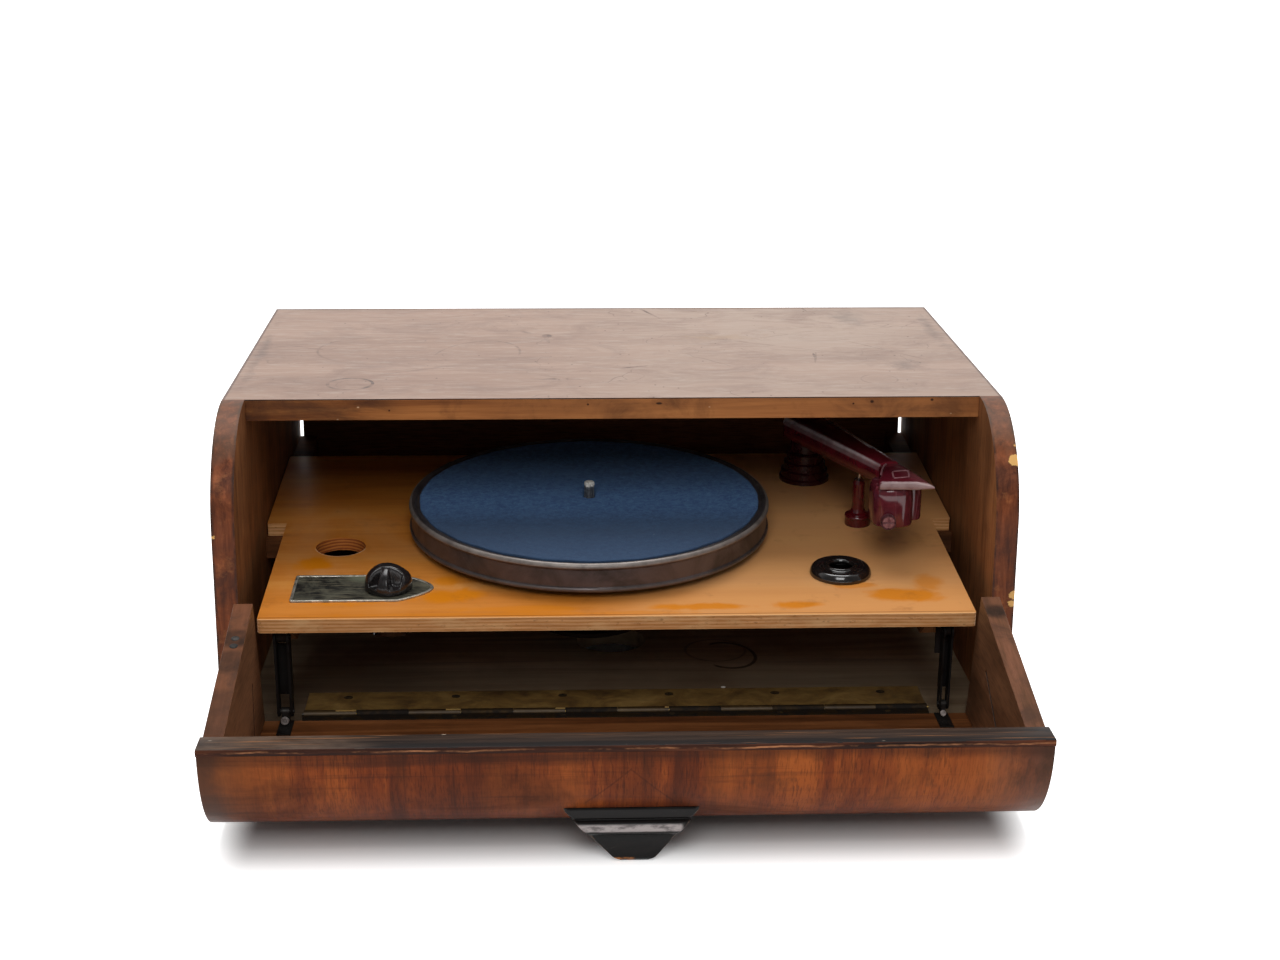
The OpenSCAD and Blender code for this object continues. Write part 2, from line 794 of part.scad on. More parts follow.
module felt_mat() {
    color(felt_blue) motor_place() translate([0, 0, 23.4]) difference() {
        cylinder(h = mat_top - 23.4, r = 120.4, $fn = 128);
        translate([0, 0, -1]) cylinder(h = 4, r = 6);
    }
}

// Spindle: a shaft in the bearing, a seat for the platter and the record pin with its domed tip
module spindle() {
    color(steel_bright) motor_place() union() {
        rotate_extrude() polygon([[0, -31.5], [5, -31.5], [5, 9], [6.6, 9.3], [6.6, 12], [3.8, 12],
                                  [3.8, 23.4], [5.4, 23.4], [5.4, 24.6], [spindle_d / 2, 24.6],
                                  [spindle_d / 2, 33], [0, 33]]);
        translate([0, 0, 33]) sphere(spindle_d / 2);
    }
}

// Switch knob: a domed base with a finger bar across it
module switch_knob() {
    knob_r = 15.6;
    bar_w = 9;
    color(bakelite_black) on_board() translate([switch_x, switch_y, plate_t + 0.3]) {
        rotate_extrude() polygon([[0, 0], [knob_r, 0], [knob_r, 3.4], [knob_r - 0.8, 4.4], [0, 6]]);
        intersection() {
            translate([0, 0, 1.5]) sphere(knob_r, $fn = 96);
            translate([-knob_r, -bar_w / 2, 1]) cube([2 * knob_r, bar_w, knob_r + 2]);
        }
        translate([0, 0, -13]) cylinder(h = 14, r = 2.5);
    }
}

// Swivel of the arm: it turns in the foot and carries the arm on a cross pin
module arm_swivel() {
    tongue_w = 8;
    color(bakelite_maroon) on_arm_foot() difference() {
        union() {
            translate([0, 0, -14]) cylinder(h = 37, r = 4);
            translate([0, 0, 22.3]) cylinder(h = 9.2, r = 11);
            slab_y(-tongue_w / 2, tongue_w / 2) union() {
                translate([0, arm_pin_z]) circle(4.2);
                translate([-4.2, 30]) square([8.4, arm_pin_z - 30]);
            }
        }
        translate([0, -9, arm_pin_z]) rotate([-90, 0, 0]) cylinder(h = 18, r = 1.56);
    }
}

// Extrudes an outline drawn in the X-Z plane from y0 to y1
module slab_y(y0, y1) {
    translate([0, y1, 0]) rotate([90, 0, 0]) linear_extrude(y1 - y0) children();
}

// Arm: a moulded shell that tapers from its round rear end to the head, open below
module arm_plan(inset) {
    circle(arm_rear_r - inset);
    polygon([[0, inset - arm_rear_r], [arm_len - inset, inset - arm_tip_half],
             [arm_len - inset, arm_tip_half - inset], [0, arm_rear_r - inset]]);
}

// The front part of the arm has a floor, on which it lies on its rest, and its top is slightly arched
open_to = 76;
floor_t = 2;
arm_arch = 1.6;
arm_arch_r = 91;

module tonearm() {
    low = arm_top - arm_t;
    color(bakelite_maroon) difference() {
        on_arm() difference() {
            intersection() {
                translate([0, 0, low]) linear_extrude(arm_t + arm_arch) arm_plan(0);
                translate([-2 * arm_rear_r, 0, arm_top + arm_arch - arm_arch_r]) rotate([0, 90, 0])
                    cylinder(h = arm_len + 4 * arm_rear_r, r = arm_arch_r);
            }
            translate([0, 0, low - 1]) linear_extrude(arm_t - arm_wall + 1) intersection() {
                arm_plan(arm_wall);
                translate([-arm_rear_r, -arm_rear_r]) square([arm_rear_r + open_to, 2 * arm_rear_r]);
            }
            translate([0, 0, low + floor_t]) linear_extrude(arm_t - arm_wall - floor_t) arm_plan(arm_wall);
            rotate([-90, 0, 0]) translate([0, 0, -20]) cylinder(h = 40, r = 1.5);
        }
        cap_block(4 * cap_t);
    }
}

module arm_pin() {
    color(steel_bright) on_arm() rotate([-90, 0, 0]) translate([0, 0, -16]) cylinder(h = 32, r = 1.5);
}

// Pick-up head: a sloping cap that widens to the front over a body with rounded corners
cap_t = 5.4;
cap_low = 54.8;
cap_slope = 4.7;
tip_fall = 10;
body_low = 31;
neck_len = 12;

module cap_place() {
    on_head() translate([0, 0, cap_low]) rotate([-cap_slope, 0, 0]) children();
}

module cap_block(tall) {
    cap_place() linear_extrude(tall)
        polygon([[-2.5, -3.3], [6.3, 8.4], [14, -19.3], [23.2, -52.1], [11.9, -47.5], [-13.4, -46.8],
                 [-12.7, -40.2], [-9.3, -28.9]]);
}

// The cap grows thin towards its right tip, from above and from below
module head_cap() {
    fold = [12, -47.5];
    reach = 40;
    color(bakelite_maroon) difference() {
        cap_block(cap_t);
        cap_place() translate([fold[0], fold[1], 0]) {
            translate([0, 0, cap_t]) rotate([0, tip_fall, -4]) translate([0, -reach, 0])
                cube([reach, 3 * reach, reach]);
            rotate([0, -tip_fall, -4]) translate([0, -reach, -reach]) cube([reach, 3 * reach, reach]);
        }
    }
}

// Rectangle with round corners from one corner point to the other
module round_plan(low, high, r) {
    w = high[0] - low[0];
    l = high[1] - low[1];
    translate(low) {
        translate([r, 0]) square([w - 2 * r, l]);
        translate([0, r]) square([w, l - 2 * r]);
        for (x = [r, w - r], y = [r, l - r]) translate([x, y]) circle(r);
    }
}

module head_body() {
    front = -47;
    color(bakelite_maroon) difference() {
        union() {
            difference() {
                on_head() translate([0, 0, body_low]) linear_extrude(cap_low) union() {
                    round_plan([-15.4, front], [12, -10], 7);
                    round_plan([-2, -34], [19.5, -6], 6);
                }
                cap_place() translate([-50, -100, 0]) cube([100, 150, 60]);
            }
            on_arm() translate([arm_len, -arm_tip_half, arm_top - arm_t])
                cube([neck_len, 2 * arm_tip_half, arm_t]);
        }
        cap_block(4 * cap_t);
        on_head() {
            translate([screw_x, front + 6, body_low - 1]) cylinder(h = 12, d = needle_d);
            translate([screw_x, front - 4, screw_z]) rotate([-90, 0, 0]) cylinder(h = 12, r = 1.56);
        }
    }
}

// Thumb screw that clamps the needle
screw_x = -6.4;
screw_z = 37;

module needle_screw() {
    color(bakelite_maroon) on_head() translate([screw_x, -48.3, screw_z]) rotate([90, 0, 0]) difference() {
        union() {
            cylinder(h = 4, r = 5.1);
            translate([0, 0, -6]) cylinder(h = 7, r = 1.5);
        }
        translate([-6, -0.6, 3]) cube([12, 1.2, 2]);
        translate([-0.6, -6, 3]) cube([1.2, 12, 2]);
    }
}

centred() side_left();
centred() side_right();
centred() top_panel();
centred() base_board();
centred() back_panel();
centred() runner_left();
centred() runner_right();
centred() glue_block_left();
centred() glue_block_right();
centred() foot_front_left();
centred() foot_front_right();
centred() foot_rear_left();
centred() foot_rear_right();
centred() cable_grommet();
centred() back_screws();
centred() hinge_leaf_rear();
centred() hinge_pin();
centred() hinge_screws_rear();
centred() hinge_leaf_front();
centred() hinge_screws_front();
centred() flap_floor();
centred() flap_curve();
centred() flap_lipping();
centred() cheek_left();
centred() cheek_right();
centred() cheek_screws();
centred() flap_handle();
centred() lug_left();
centred() lug_right();
centred() lever_left();
centred() lever_right();
centred() motor_board();
centred() bracket_left();
centred() bracket_right();
centred() motor_frame();
centred() motor_stator();
centred() motor_bearing();
centred() motor_bolts();
centred() switch_plate();
centred() switch_body();
centred() needle_cup();
centred() arm_base();
centred() arm_rest_post();
centred() arm_rest_pin();
centred() platter();
centred() felt_mat();
centred() spindle();
centred() switch_knob();
centred() arm_swivel();
centred() tonearm();
centred() arm_pin();
centred() head_body();
centred() head_cap();
centred() needle_screw();
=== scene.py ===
"""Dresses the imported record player: finishes, sculpted pieces, floor, lamps and camera."""

from __future__ import annotations

import logging
import math
from dataclasses import dataclass
from enum import Enum

import bmesh
import bpy
import numpy as np
from bpy.types import Material, NodeSocket, NodeTree, Object
from mathutils import Matrix, Vector
from mathutils.geometry import tessellate_polygon


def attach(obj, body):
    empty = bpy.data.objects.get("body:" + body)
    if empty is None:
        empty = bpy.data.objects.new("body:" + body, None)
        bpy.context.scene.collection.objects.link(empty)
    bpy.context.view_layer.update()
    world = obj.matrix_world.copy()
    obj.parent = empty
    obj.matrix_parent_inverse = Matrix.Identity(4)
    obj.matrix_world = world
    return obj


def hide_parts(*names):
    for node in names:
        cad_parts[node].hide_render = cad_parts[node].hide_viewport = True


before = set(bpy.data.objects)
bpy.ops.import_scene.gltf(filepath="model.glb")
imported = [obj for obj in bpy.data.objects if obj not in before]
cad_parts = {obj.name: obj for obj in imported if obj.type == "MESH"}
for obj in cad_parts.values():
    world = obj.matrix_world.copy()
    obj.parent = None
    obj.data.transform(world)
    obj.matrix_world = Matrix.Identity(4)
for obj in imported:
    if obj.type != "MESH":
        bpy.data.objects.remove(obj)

Array = np.ndarray
Triple = tuple[float, float, float]
LOG = logging.getLogger("record_player")

MM = 0.001
MIDDLE_Y = 88.6
SLOPE = math.radians(3.8)
ARM_TURN = math.radians(16.2)
ARM_SLOPE = math.radians(4.9)


# Frames of reference and mesh building


class Axis(Enum):
    """One of the three directions of a frame."""

    X = 0
    Y = 1
    Z = 2


@dataclass(frozen=True)
class Place:
    """A frame of reference, in millimetres of the row's frame; its directions are rows."""

    origin: Array
    basis: Array

    def world(self, local: Array) -> Array:
        """The origin plus each coordinate times its direction, in metres of the row's frame."""
        return (self.origin + local @ self.basis) * MM

    def inner(self, origin: Triple, basis: Array) -> Place:
        """A frame that is placed within this one."""
        return Place(self.origin + np.array(origin) @ self.basis, basis @ self.basis)


def turned(axis: Axis, angle: float) -> Array:
    """The three directions of a frame turned about an axis, from the angle's cosine and sine.

    Args:
        axis: The axis.
        angle: The angle, in radians.

    Returns:
        The directions, as rows.
    """
    basis = np.eye(3)
    i, j = [n for n in range(3) if n != axis.value]
    basis[i, i] = basis[j, j] = math.cos(angle)
    basis[i, j], basis[j, i] = math.sin(angle), -math.sin(angle)
    return basis


CABINET = Place(np.array([0, -MIDDLE_Y, 0]), np.eye(3))
FLAP = Place(np.array([0, 8 - MIDDLE_Y, 19.5]), np.diag([1.0, -1.0, 1.0]))
BOARD = Place(np.array([0, -25 - MIDDLE_Y, 98]), turned(Axis.X, SLOPE))
ARM_FOOT = BOARD.inner((148.5, 255, 0), turned(Axis.Z, ARM_TURN - math.pi / 2))
ARM = ARM_FOOT.inner((0, 0, 41), turned(Axis.Y, ARM_SLOPE))
HEAD = BOARD.inner((188, 118, 0), np.eye(3))
HOLE_SEEN = (-188, 9)


def lift(plan: Array, level: float, axis: Axis) -> Array:
    """Sets a flat outline in space, square to an axis and at a level along it.

    Args:
        plan: Outline points of shape (n, 2), for the two other axes in order.
        level: The coordinate along the axis.
        axis: The axis that the outline is square to.

    Returns:
        Points of shape (n, 3).
    """
    out = np.full((len(plan), 3), float(level))
    out[:, [n for n in range(3) if n != axis.value]] = plan
    return out


def around(count: int) -> Array:
    """Equal angles round a full turn, as one row."""
    return np.linspace(0, 2 * np.pi, count, endpoint=False)[None, :]


def polar(radius: Array, angle: Array, height: Array, x: float = 0.0, y: float = 0.0) -> Array:
    """Points about an upright axis: x + radius cos angle, y + radius sin angle, height."""
    parts = x + radius * np.cos(angle), y + radius * np.sin(angle), height
    return np.stack(np.broadcast_arrays(*parts), -1)


def circle(x: float, y: float, radius: float) -> Array:
    """A circle as 64 points: the centre plus radius times cosine and sine of equal angles."""
    return polar(radius, around(64), 0.0, x, y)[0, :, :2]


def fillet(path: Array, radius: float | Array, steps: int) -> Array:
    """Rounds the corners of a closed outline.

    Each corner is replaced by a quadratic curve from a point before it to one after it, no further
    away than the radius or half the side.

    Args:
        path: Corner points of shape (n, 2).
        radius: How far from each corner its curve starts, one number or one per corner.
        steps: Points on each curve.

    Returns:
        The rounded outline.
    """
    path = np.asarray(path, float)
    ends = []
    for shift in (1, -1):
        side = np.roll(path, shift, 0) - path
        size = np.linalg.norm(side, axis=1)[:, None]
        reach = np.broadcast_to(radius, len(path))[:, None]
        ends.append((path + side / size * np.minimum(reach, size / 2))[:, None])
    t = np.linspace(0, 1, steps)[None, :, None]
    curve = (1 - t) ** 2 * ends[0] + 2 * t * (1 - t) * path[:, None] + t**2 * ends[1]
    return curve.reshape(-1, 2)


def smooth_line(points: Array, per_span: int) -> Array:
    """Carries a smooth curve through points, by the Catmull-Rom formula on each span.

    Args:
        points: Points of shape (n, k).
        per_span: Points on each span.

    Returns:
        Points along the curve, the last given point included.
    """
    points = np.asarray(points, float)
    pad = np.vstack([2 * points[0] - points[1], points, 2 * points[-1] - points[-2]])[:, None]
    a, b, c, d = pad[:-3], pad[1:-2], pad[2:-1], pad[3:]
    t = np.linspace(0, 1, per_span, endpoint=False)[None, :, None]
    curve = 0.5 * (
        2 * b + (c - a) * t + (2 * a - 5 * b + 4 * c - d) * t**2 + (3 * b - a - 3 * c + d) * t**3
    )
    return np.vstack([curve.reshape(-1, points.shape[1]), points[-1]])


def rectangle(x0: float, x1: float, y0: float, y1: float) -> Array:
    """A rectangle as four corners."""
    return np.array([[x0, y0], [x1, y0], [x1, y1], [x0, y1]])


class Form:
    """Collects grids and flat faces, and turns them into one piece of the object."""

    def __init__(self, place: Place) -> None:
        """Starts an empty form in the given frame.

        Args:
            place: The frame that the form's points are given in.
        """
        self.place = place
        self.points: list[Array] = []
        self.faces: list[list[int]] = []
        self.marks: list[int] = []

    def corners(self, points: Array, faces: Array, mark: int = 0) -> None:
        """Adds faces that are given by the numbers of their corners.

        Args:
            points: The corners, of shape (n, 3).
            faces: The corners of each face, as many on each.
            mark: Which of the piece's finishes they take.
        """
        count = sum(map(len, self.points))
        self.faces += (np.asarray(faces) + count).tolist()
        self.marks += [mark] * len(faces)
        self.points.append(points)

    def grid(self, points: Array, mark: int = 0, wrap: bool = False) -> None:
        """Adds a surface given on a grid, with one four-sided face per cell.

        Args:
            points: Points of shape (rows, columns, 3).
            mark: Which of the piece's finishes the faces take.
            wrap: Whether the last column joins the first.
        """
        rows, cols = points.shape[:2]
        i = np.arange(rows - 1)[:, None] * cols
        j = np.arange(cols if wrap else cols - 1)[None, :]
        k = (j + 1) % cols
        cells = np.stack([i + j, i + k, i + cols + k, i + cols + j], -1)
        self.corners(points.reshape(-1, 3), cells.reshape(-1, 4), mark)

    def flat(self, outline: Array, holes: tuple[Array, ...] = (), mark: int = 0) -> None:
        """Adds a flat face with holes, cut into triangles.

        Args:
            outline: The rim, of shape (n, 3).
            holes: The rims of the holes.
            mark: Which of the piece's finishes it takes.
        """
        rims = [outline, *holes]
        cut = tessellate_polygon([[Vector(p) for p in rim] for rim in rims])
        self.corners(np.vstack(rims), cut, mark)

    def sweep(self, rows: Array) -> None:
        """Adds closed sections joined to a bar, with its two ends closed.

        Args:
            rows: The sections, of shape (sections, points round, 3).
        """
        self.grid(rows, wrap=True)
        self.flat(rows[0])
        self.flat(rows[-1])

    def prism(
        self,
        plan: Array,
        low: float,
        high: float,
        axis: Axis = Axis.Z,
        holes: tuple[Array, ...] = (),
        marks: tuple[int, int, int] = (0, 0, 0),
    ) -> None:
        """Adds an outline carried straight along an axis, with its two ends closed.

        Args:
            plan: The outline, of shape (n, 2).
            low: Where it starts along the axis.
            high: Where it ends.
            axis: The axis.
            holes: Outlines of holes that go right through.
            marks: The finishes of the sides, of the high end and of the low end.
        """
        for rim in (plan, *holes):
            self.grid(np.stack([lift(rim, low, axis), lift(rim, high, axis)]), marks[0], wrap=True)
        for level, mark in ((high, marks[1]), (low, marks[2])):
            self.flat(lift(plan, level, axis), tuple(lift(h, level, axis) for h in holes), mark)

    def lathe(self, profile: Array, x: float, y: float, count: int) -> None:
        """Adds a profile of radius and height turned about an upright axis at x, y."""
        self.grid(polar(profile[:, :1], around(count), profile[:, 1:], x, y), wrap=True)

    def tube(self, path: Array, radius: float, count: int) -> None:
        """Adds a round bar along a path, its ends drawn together.

        At each point a circle stands square to the path's direction, on two directions taken from
        the least direction of the path.

        Args:
            path: Points of shape (n, 3).
            radius: The bar's radius.
            count: Points round the bar.
        """
        along = np.gradient(path, axis=0)
        along /= np.linalg.norm(along, axis=1)[:, None]
        side = np.cross(along, np.eye(3)[np.argmin(np.abs(along).mean(0))])
        side /= np.linalg.norm(side, axis=1)[:, None]
        up = np.cross(side, along)
        angle = around(count)[:, :, None]
        round_it = np.cos(angle) * side[:, None] + np.sin(angle) * up[:, None]
        body = path[:, None] + radius * round_it
        ends = [np.repeat(path[i][None, None], count, 1) for i in (0, -1)]
        self.grid(np.concatenate([ends[0], body, ends[1]]), wrap=True)

    def piece(
        self,
        name: str,
        body: str,
        finishes: tuple[Material, ...],
        node: str,
        slot: str,
        bevel: float = 0.0,
        crease: float = 35.0,
        closed: bool = True,
    ) -> Object:
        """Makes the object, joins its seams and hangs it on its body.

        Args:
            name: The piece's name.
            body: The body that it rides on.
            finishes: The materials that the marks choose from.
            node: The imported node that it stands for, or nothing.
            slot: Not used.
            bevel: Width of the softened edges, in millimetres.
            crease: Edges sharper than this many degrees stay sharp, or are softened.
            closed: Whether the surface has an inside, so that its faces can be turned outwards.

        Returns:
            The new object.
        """
        mesh = bpy.data.meshes.new(name)
        mesh.from_pydata(self.place.world(np.vstack(self.points)).tolist(), [], self.faces)
        mesh.polygons.foreach_set("material_index", self.marks)
        for finish in finishes:
            mesh.materials.append(finish)
        work = bmesh.new()
        work.from_mesh(mesh)
        bmesh.ops.remove_doubles(work, verts=work.verts, dist=1e-6)
        if closed:
            bmesh.ops.recalc_face_normals(work, faces=work.faces)
        work.to_mesh(mesh)
        work.free()
        mesh.polygons.foreach_set("use_smooth", np.ones(len(mesh.polygons), bool))
        mesh.set_sharp_from_angle(angle=math.radians(crease))
        made = bpy.data.objects.new(name, mesh)
        bpy.context.scene.collection.objects.link(made)
        if bevel:
            soft = made.modifiers.new("soft edges", "BEVEL")
            soft.width = bevel * MM
            soft.segments = 2
            soft.limit_method = "ANGLE"
            soft.angle_limit = math.radians(crease)
            soft.harden_normals = True
        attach(made, body)
        if node:
            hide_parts(node)
        LOG.info("%s rides on %s", name, body)
        return made


# Finishes


def srgb(text: str) -> tuple[float, ...]:
    """Turns a written colour such as 9c7760 into the linear values that shaders take.

    Args:
        text: Six hexadecimal digits.

    Returns:
        Red, green, blue and a full alpha.
    """
    values = np.array([int(text[i : i + 2], 16) for i in (0, 2, 4)]) / 255
    linear = np.where(values <= 0.04045, values / 12.92, ((values + 0.055) / 1.055) ** 2.4)
    return (*linear.tolist(), 1.0)


@dataclass(frozen=True)
class Value:
    """A socket of a shader node. Each operator and method on it adds the nodes that it needs."""

    graph: Graph
    socket: NodeSocket

    def __add__(self, other: object) -> Value:
        """This value plus another."""
        return self.graph.sum("ADD", self, other)

    def __radd__(self, other: object) -> Value:
        """A number plus this value."""
        return self.graph.sum("ADD", other, self)

    def __sub__(self, other: object) -> Value:
        """This value less another."""
        return self.graph.sum("SUBTRACT", self, other)

    def __rsub__(self, other: object) -> Value:
        """A number less this value."""
        return self.graph.sum("SUBTRACT", other, self)

    def __mul__(self, other: object) -> Value:
        """This value times another."""
        return self.graph.sum("MULTIPLY", self, other)

    def __truediv__(self, other: object) -> Value:
        """This value divided by another."""
        return self.graph.sum("DIVIDE", self, other)

    def __pow__(self, other: object) -> Value:
        """This value raised to a power."""
        return self.graph.sum("POWER", self, other)

    def __abs__(self) -> Value:
        """The size of this value."""
        return self.graph.sum("ABSOLUTE", self, 0.0)

    def span(self, start: float, end: float, low: float = 0.0, high: float = 1.0) -> Value:
        """Carries this value smoothly from one range to another.

        Args:
            start: Where the first range starts.
            end: Where it ends.
            low: Where the second range starts.
            high: Where it ends.

        Returns:
            The value in the second range.
        """
        ends = {"From Min": start, "From Max": end, "To Min": low, "To Max": high}
        return self.graph.node(
            "MapRange", {"Value": self, **ends}, "Result", interpolation_type="SMOOTHSTEP"
        )

    def band(self, low: float, high: float, soft: float) -> Value:
        """Is 1 between two values and fades to 0 outside them."""
        return self.span(low - soft, low) * self.span(high + soft, high)

    def above(self, low: float, soft: float) -> Value:
        """Is 1 above a value and fades to 0 below it."""
        return self.band(low, self.graph.FAR, soft)

    def below(self, high: float, soft: float) -> Value:
        """Is 1 below a value and fades to 0 above it."""
        return self.band(-self.graph.FAR, high, soft)

    def fade(self, start: float, end: float, last: float = 1.0, first: float = 0.0) -> Value:
        """Grey levels that go straight from a first to a last one, over a range of this value."""
        return self.ramp((start, first), (end, last))

    def ramp(self, *stops: tuple[float, str | float]) -> Value:
        """Turns this value into colours or grey levels, by stops of place and colour.

        Args:
            stops: Places from 0 to 1, each with its colour.

        Returns:
            The colour or grey level.
        """
        made = self.graph.node("ValToRGB", {0: self}, "Color")
        line = made.socket.node.color_ramp.elements
        while len(line) < len(stops):
            line.new(0.5)
        for element, (place, shade) in zip(line, stops):
            element.position = place
            element.color = srgb(shade) if isinstance(shade, str) else (shade, shade, shade, 1.0)
        return made


class Graph:
    """Writes shader nodes into a tree."""

    FAR = 1.0

    def __init__(self, tree: NodeTree) -> None:
        """Takes a tree, and starts from the object's coordinates.

        Args:
            tree: The tree that the nodes go into.
        """
        self.tree = tree
        self.where = self.node("TexCoord", {}, "Object")
        self.x, self.y, self.z = self.split(self.where)

    def node(self, kind: str, inputs: dict, output: str, **fields: object) -> Value:
        """Adds a node.

        Args:
            kind: The node's type, without the words that all have in front.
            inputs: What goes into its inputs, by their names or numbers.
            output: The output that is wanted.
            fields: The node's own settings.

        Returns:
            The wanted output.
        """
        made = self.tree.nodes.new("ShaderNode" + kind)
        for key, value in fields.items():
            setattr(made, key, value)
        for key, value in inputs.items():
            self.put(made.inputs[key], value)
        return Value(self, made.outputs[output])

    def put(self, socket: NodeSocket, value: object) -> None:
        """Links a socket to another, or sets its value; a written colour is turned into numbers.

        Args:
            socket: An input.
            value: What goes into it.
        """
        if isinstance(value, Value):
            self.tree.links.new(value.socket, socket)
        else:
            socket.default_value = srgb(value) if isinstance(value, str) else value

    def split(self, where: Value) -> list[Value]:
        """The three coordinates of a place."""
        made = self.node("SeparateXYZ", {0: where}, "X").socket.node
        return [Value(self, socket) for socket in made.outputs]

    def coords(
        self, stretch: Triple = (1, 1, 1), turn: Triple = (0, 0, 0), shift: Triple = (0, 0, 0)
    ) -> Value:
        """The object's coordinates after a shift, a turn in degrees and a stretch.

        Args:
            stretch: Factors along the three axes.
            turn: Angles about them, in degrees.
            shift: What is added, in metres.

        Returns:
            The new coordinates.
        """
        angles = [math.radians(v) for v in turn]
        how = {"Vector": self.where, "Location": shift, "Rotation": angles, "Scale": stretch}
        return self.node("Mapping", how, "Vector")

    def noise(
        self,
        fine: float,
        detail: float = 4.0,
        rough: float = 0.55,
        bend: float = 0.0,
        where: Value | None = None,
        **place: Triple,
    ) -> Value:
        """A soft random pattern from 0 to 1.

        Args:
            fine: How small its grains are.
            detail: How many finer layers it has.
            rough: How strong these are.
            bend: How much it is distorted.
            where: The coordinates that it reads, or nothing for the object's own.
            place: A stretch or shift of these.

        Returns:
            The pattern.
        """
        how = {"Scale": fine, "Detail": detail, "Roughness": rough, "Distortion": bend}
        return self.node("TexNoise", {"Vector": where or self.coords(**place), **how}, "Fac")

    def cells(
        self, fine: float, feature: str = "F1", where: Value | None = None, **place: Triple
    ) -> Value:
        """The distance to the nearest of scattered points, or to the edge of its cell."""
        inputs = {"Vector": where or self.coords(**place), "Scale": fine}
        return self.node("TexVoronoi", inputs, "Distance", feature=feature)

    def mix(self, factor: object, one: object, two: object, how: str = "MIX") -> Value:
        """Mixes two colours."""
        fields = {"data_type": "RGBA", "blend_type": how, "clamp_result": True}
        return self.node("Mix", {"Factor": factor, "A": one, "B": two}, "Result", **fields)

    def sum(self, how: str, one: object, two: object) -> Value:
        """Does one step of arithmetic on two values."""
        return self.node("Math", {0: one, 1: two}, "Value", operation=how)

    def most(self, *values: object) -> Value:
        """The greatest of some values.

        Args:
            values: Values or numbers.

        Returns:
            The greatest.
        """
        out = values[0]
        for value in values[1:]:
            out = self.sum("MAXIMUM", out, value)
        return out

    def cycle(self, value: Value) -> Value:
        """How far a value is on its way from one whole number to the next."""
        return self.sum("FRACT", value, 0.0)

    def ray(self, kind: str) -> Value:
        """Is 1 where the light's path is of a kind."""
        return self.node("LightPath", {}, f"Is {kind} Ray")

    def vector(self, how: str, one: Value, two: object = (0, 0, 0)) -> Value:
        """Does one step of arithmetic on two vectors that gives a number."""
        return self.node("VectorMath", {0: one, 1: two}, "Value", operation=how)

    def near(self, spot: Triple, radius: float, soft: float, ragged: float = 0.0) -> Value:
        """Is 1 within a radius of a spot, in metres, and fades to 0 outside it.

        A ragged spot has noise of that size added to the distance.

        Args:
            spot: The middle of the spot.
            radius: Its radius.
            soft: The width of its fading edge.
            ragged: How far noise moves the edge.

        Returns:
            How much of the spot is here.
        """
        away = self.vector("DISTANCE", self.where, spot)
        if ragged:
            away = away + self.noise(420, 3) * ragged
        return away.below(radius, soft)

    def within(self, place: Place, axis: Axis) -> Value:
        """One coordinate in another frame: the offset from its origin dotted with a direction.

        Args:
            place: The other frame.
            axis: Which of its directions.

        Returns:
            The coordinate.
        """
        origin = (place.origin * MM).tolist()
        apart = self.node("VectorMath", {0: self.where, 1: origin}, "Vector", operation="SUBTRACT")
        return self.vector("DOT_PRODUCT", apart, place.basis[axis.value].tolist())

    def reach(self, first: Value, second: Value) -> Value:
        """Length of the vector that has these two values as its components."""
        return self.vector("LENGTH", self.node("CombineXYZ", {0: first, 1: second}, "Vector"))

    def ball(self, middle: Triple, half: Triple, turn: float = 0.0) -> Value:
        """How far out a place is, as a share of the radii of an ellipsoid.

        Args:
            middle: Its centre, in millimetres.
            half: Its three radii, in millimetres.
            turn: How far it is turned about the upright axis, in degrees.

        Returns:
            A value that is 1 on its surface.
        """
        how = {
            "Vector": self.where,
            "Location": [v * MM for v in middle],
            "Rotation": (0, 0, math.radians(turn)),
            "Scale": [v * MM for v in half],
        }
        return self.vector("LENGTH", self.node("Mapping", how, "Vector", vector_type="TEXTURE"))

    def oval(self, middle: tuple, half: tuple, turn: float = 0.0) -> Value:
        """How far out a place is, as a share of an upright oval's radius, seen from above."""
        return self.ball((*middle, 0), (*half, 1e9), turn)


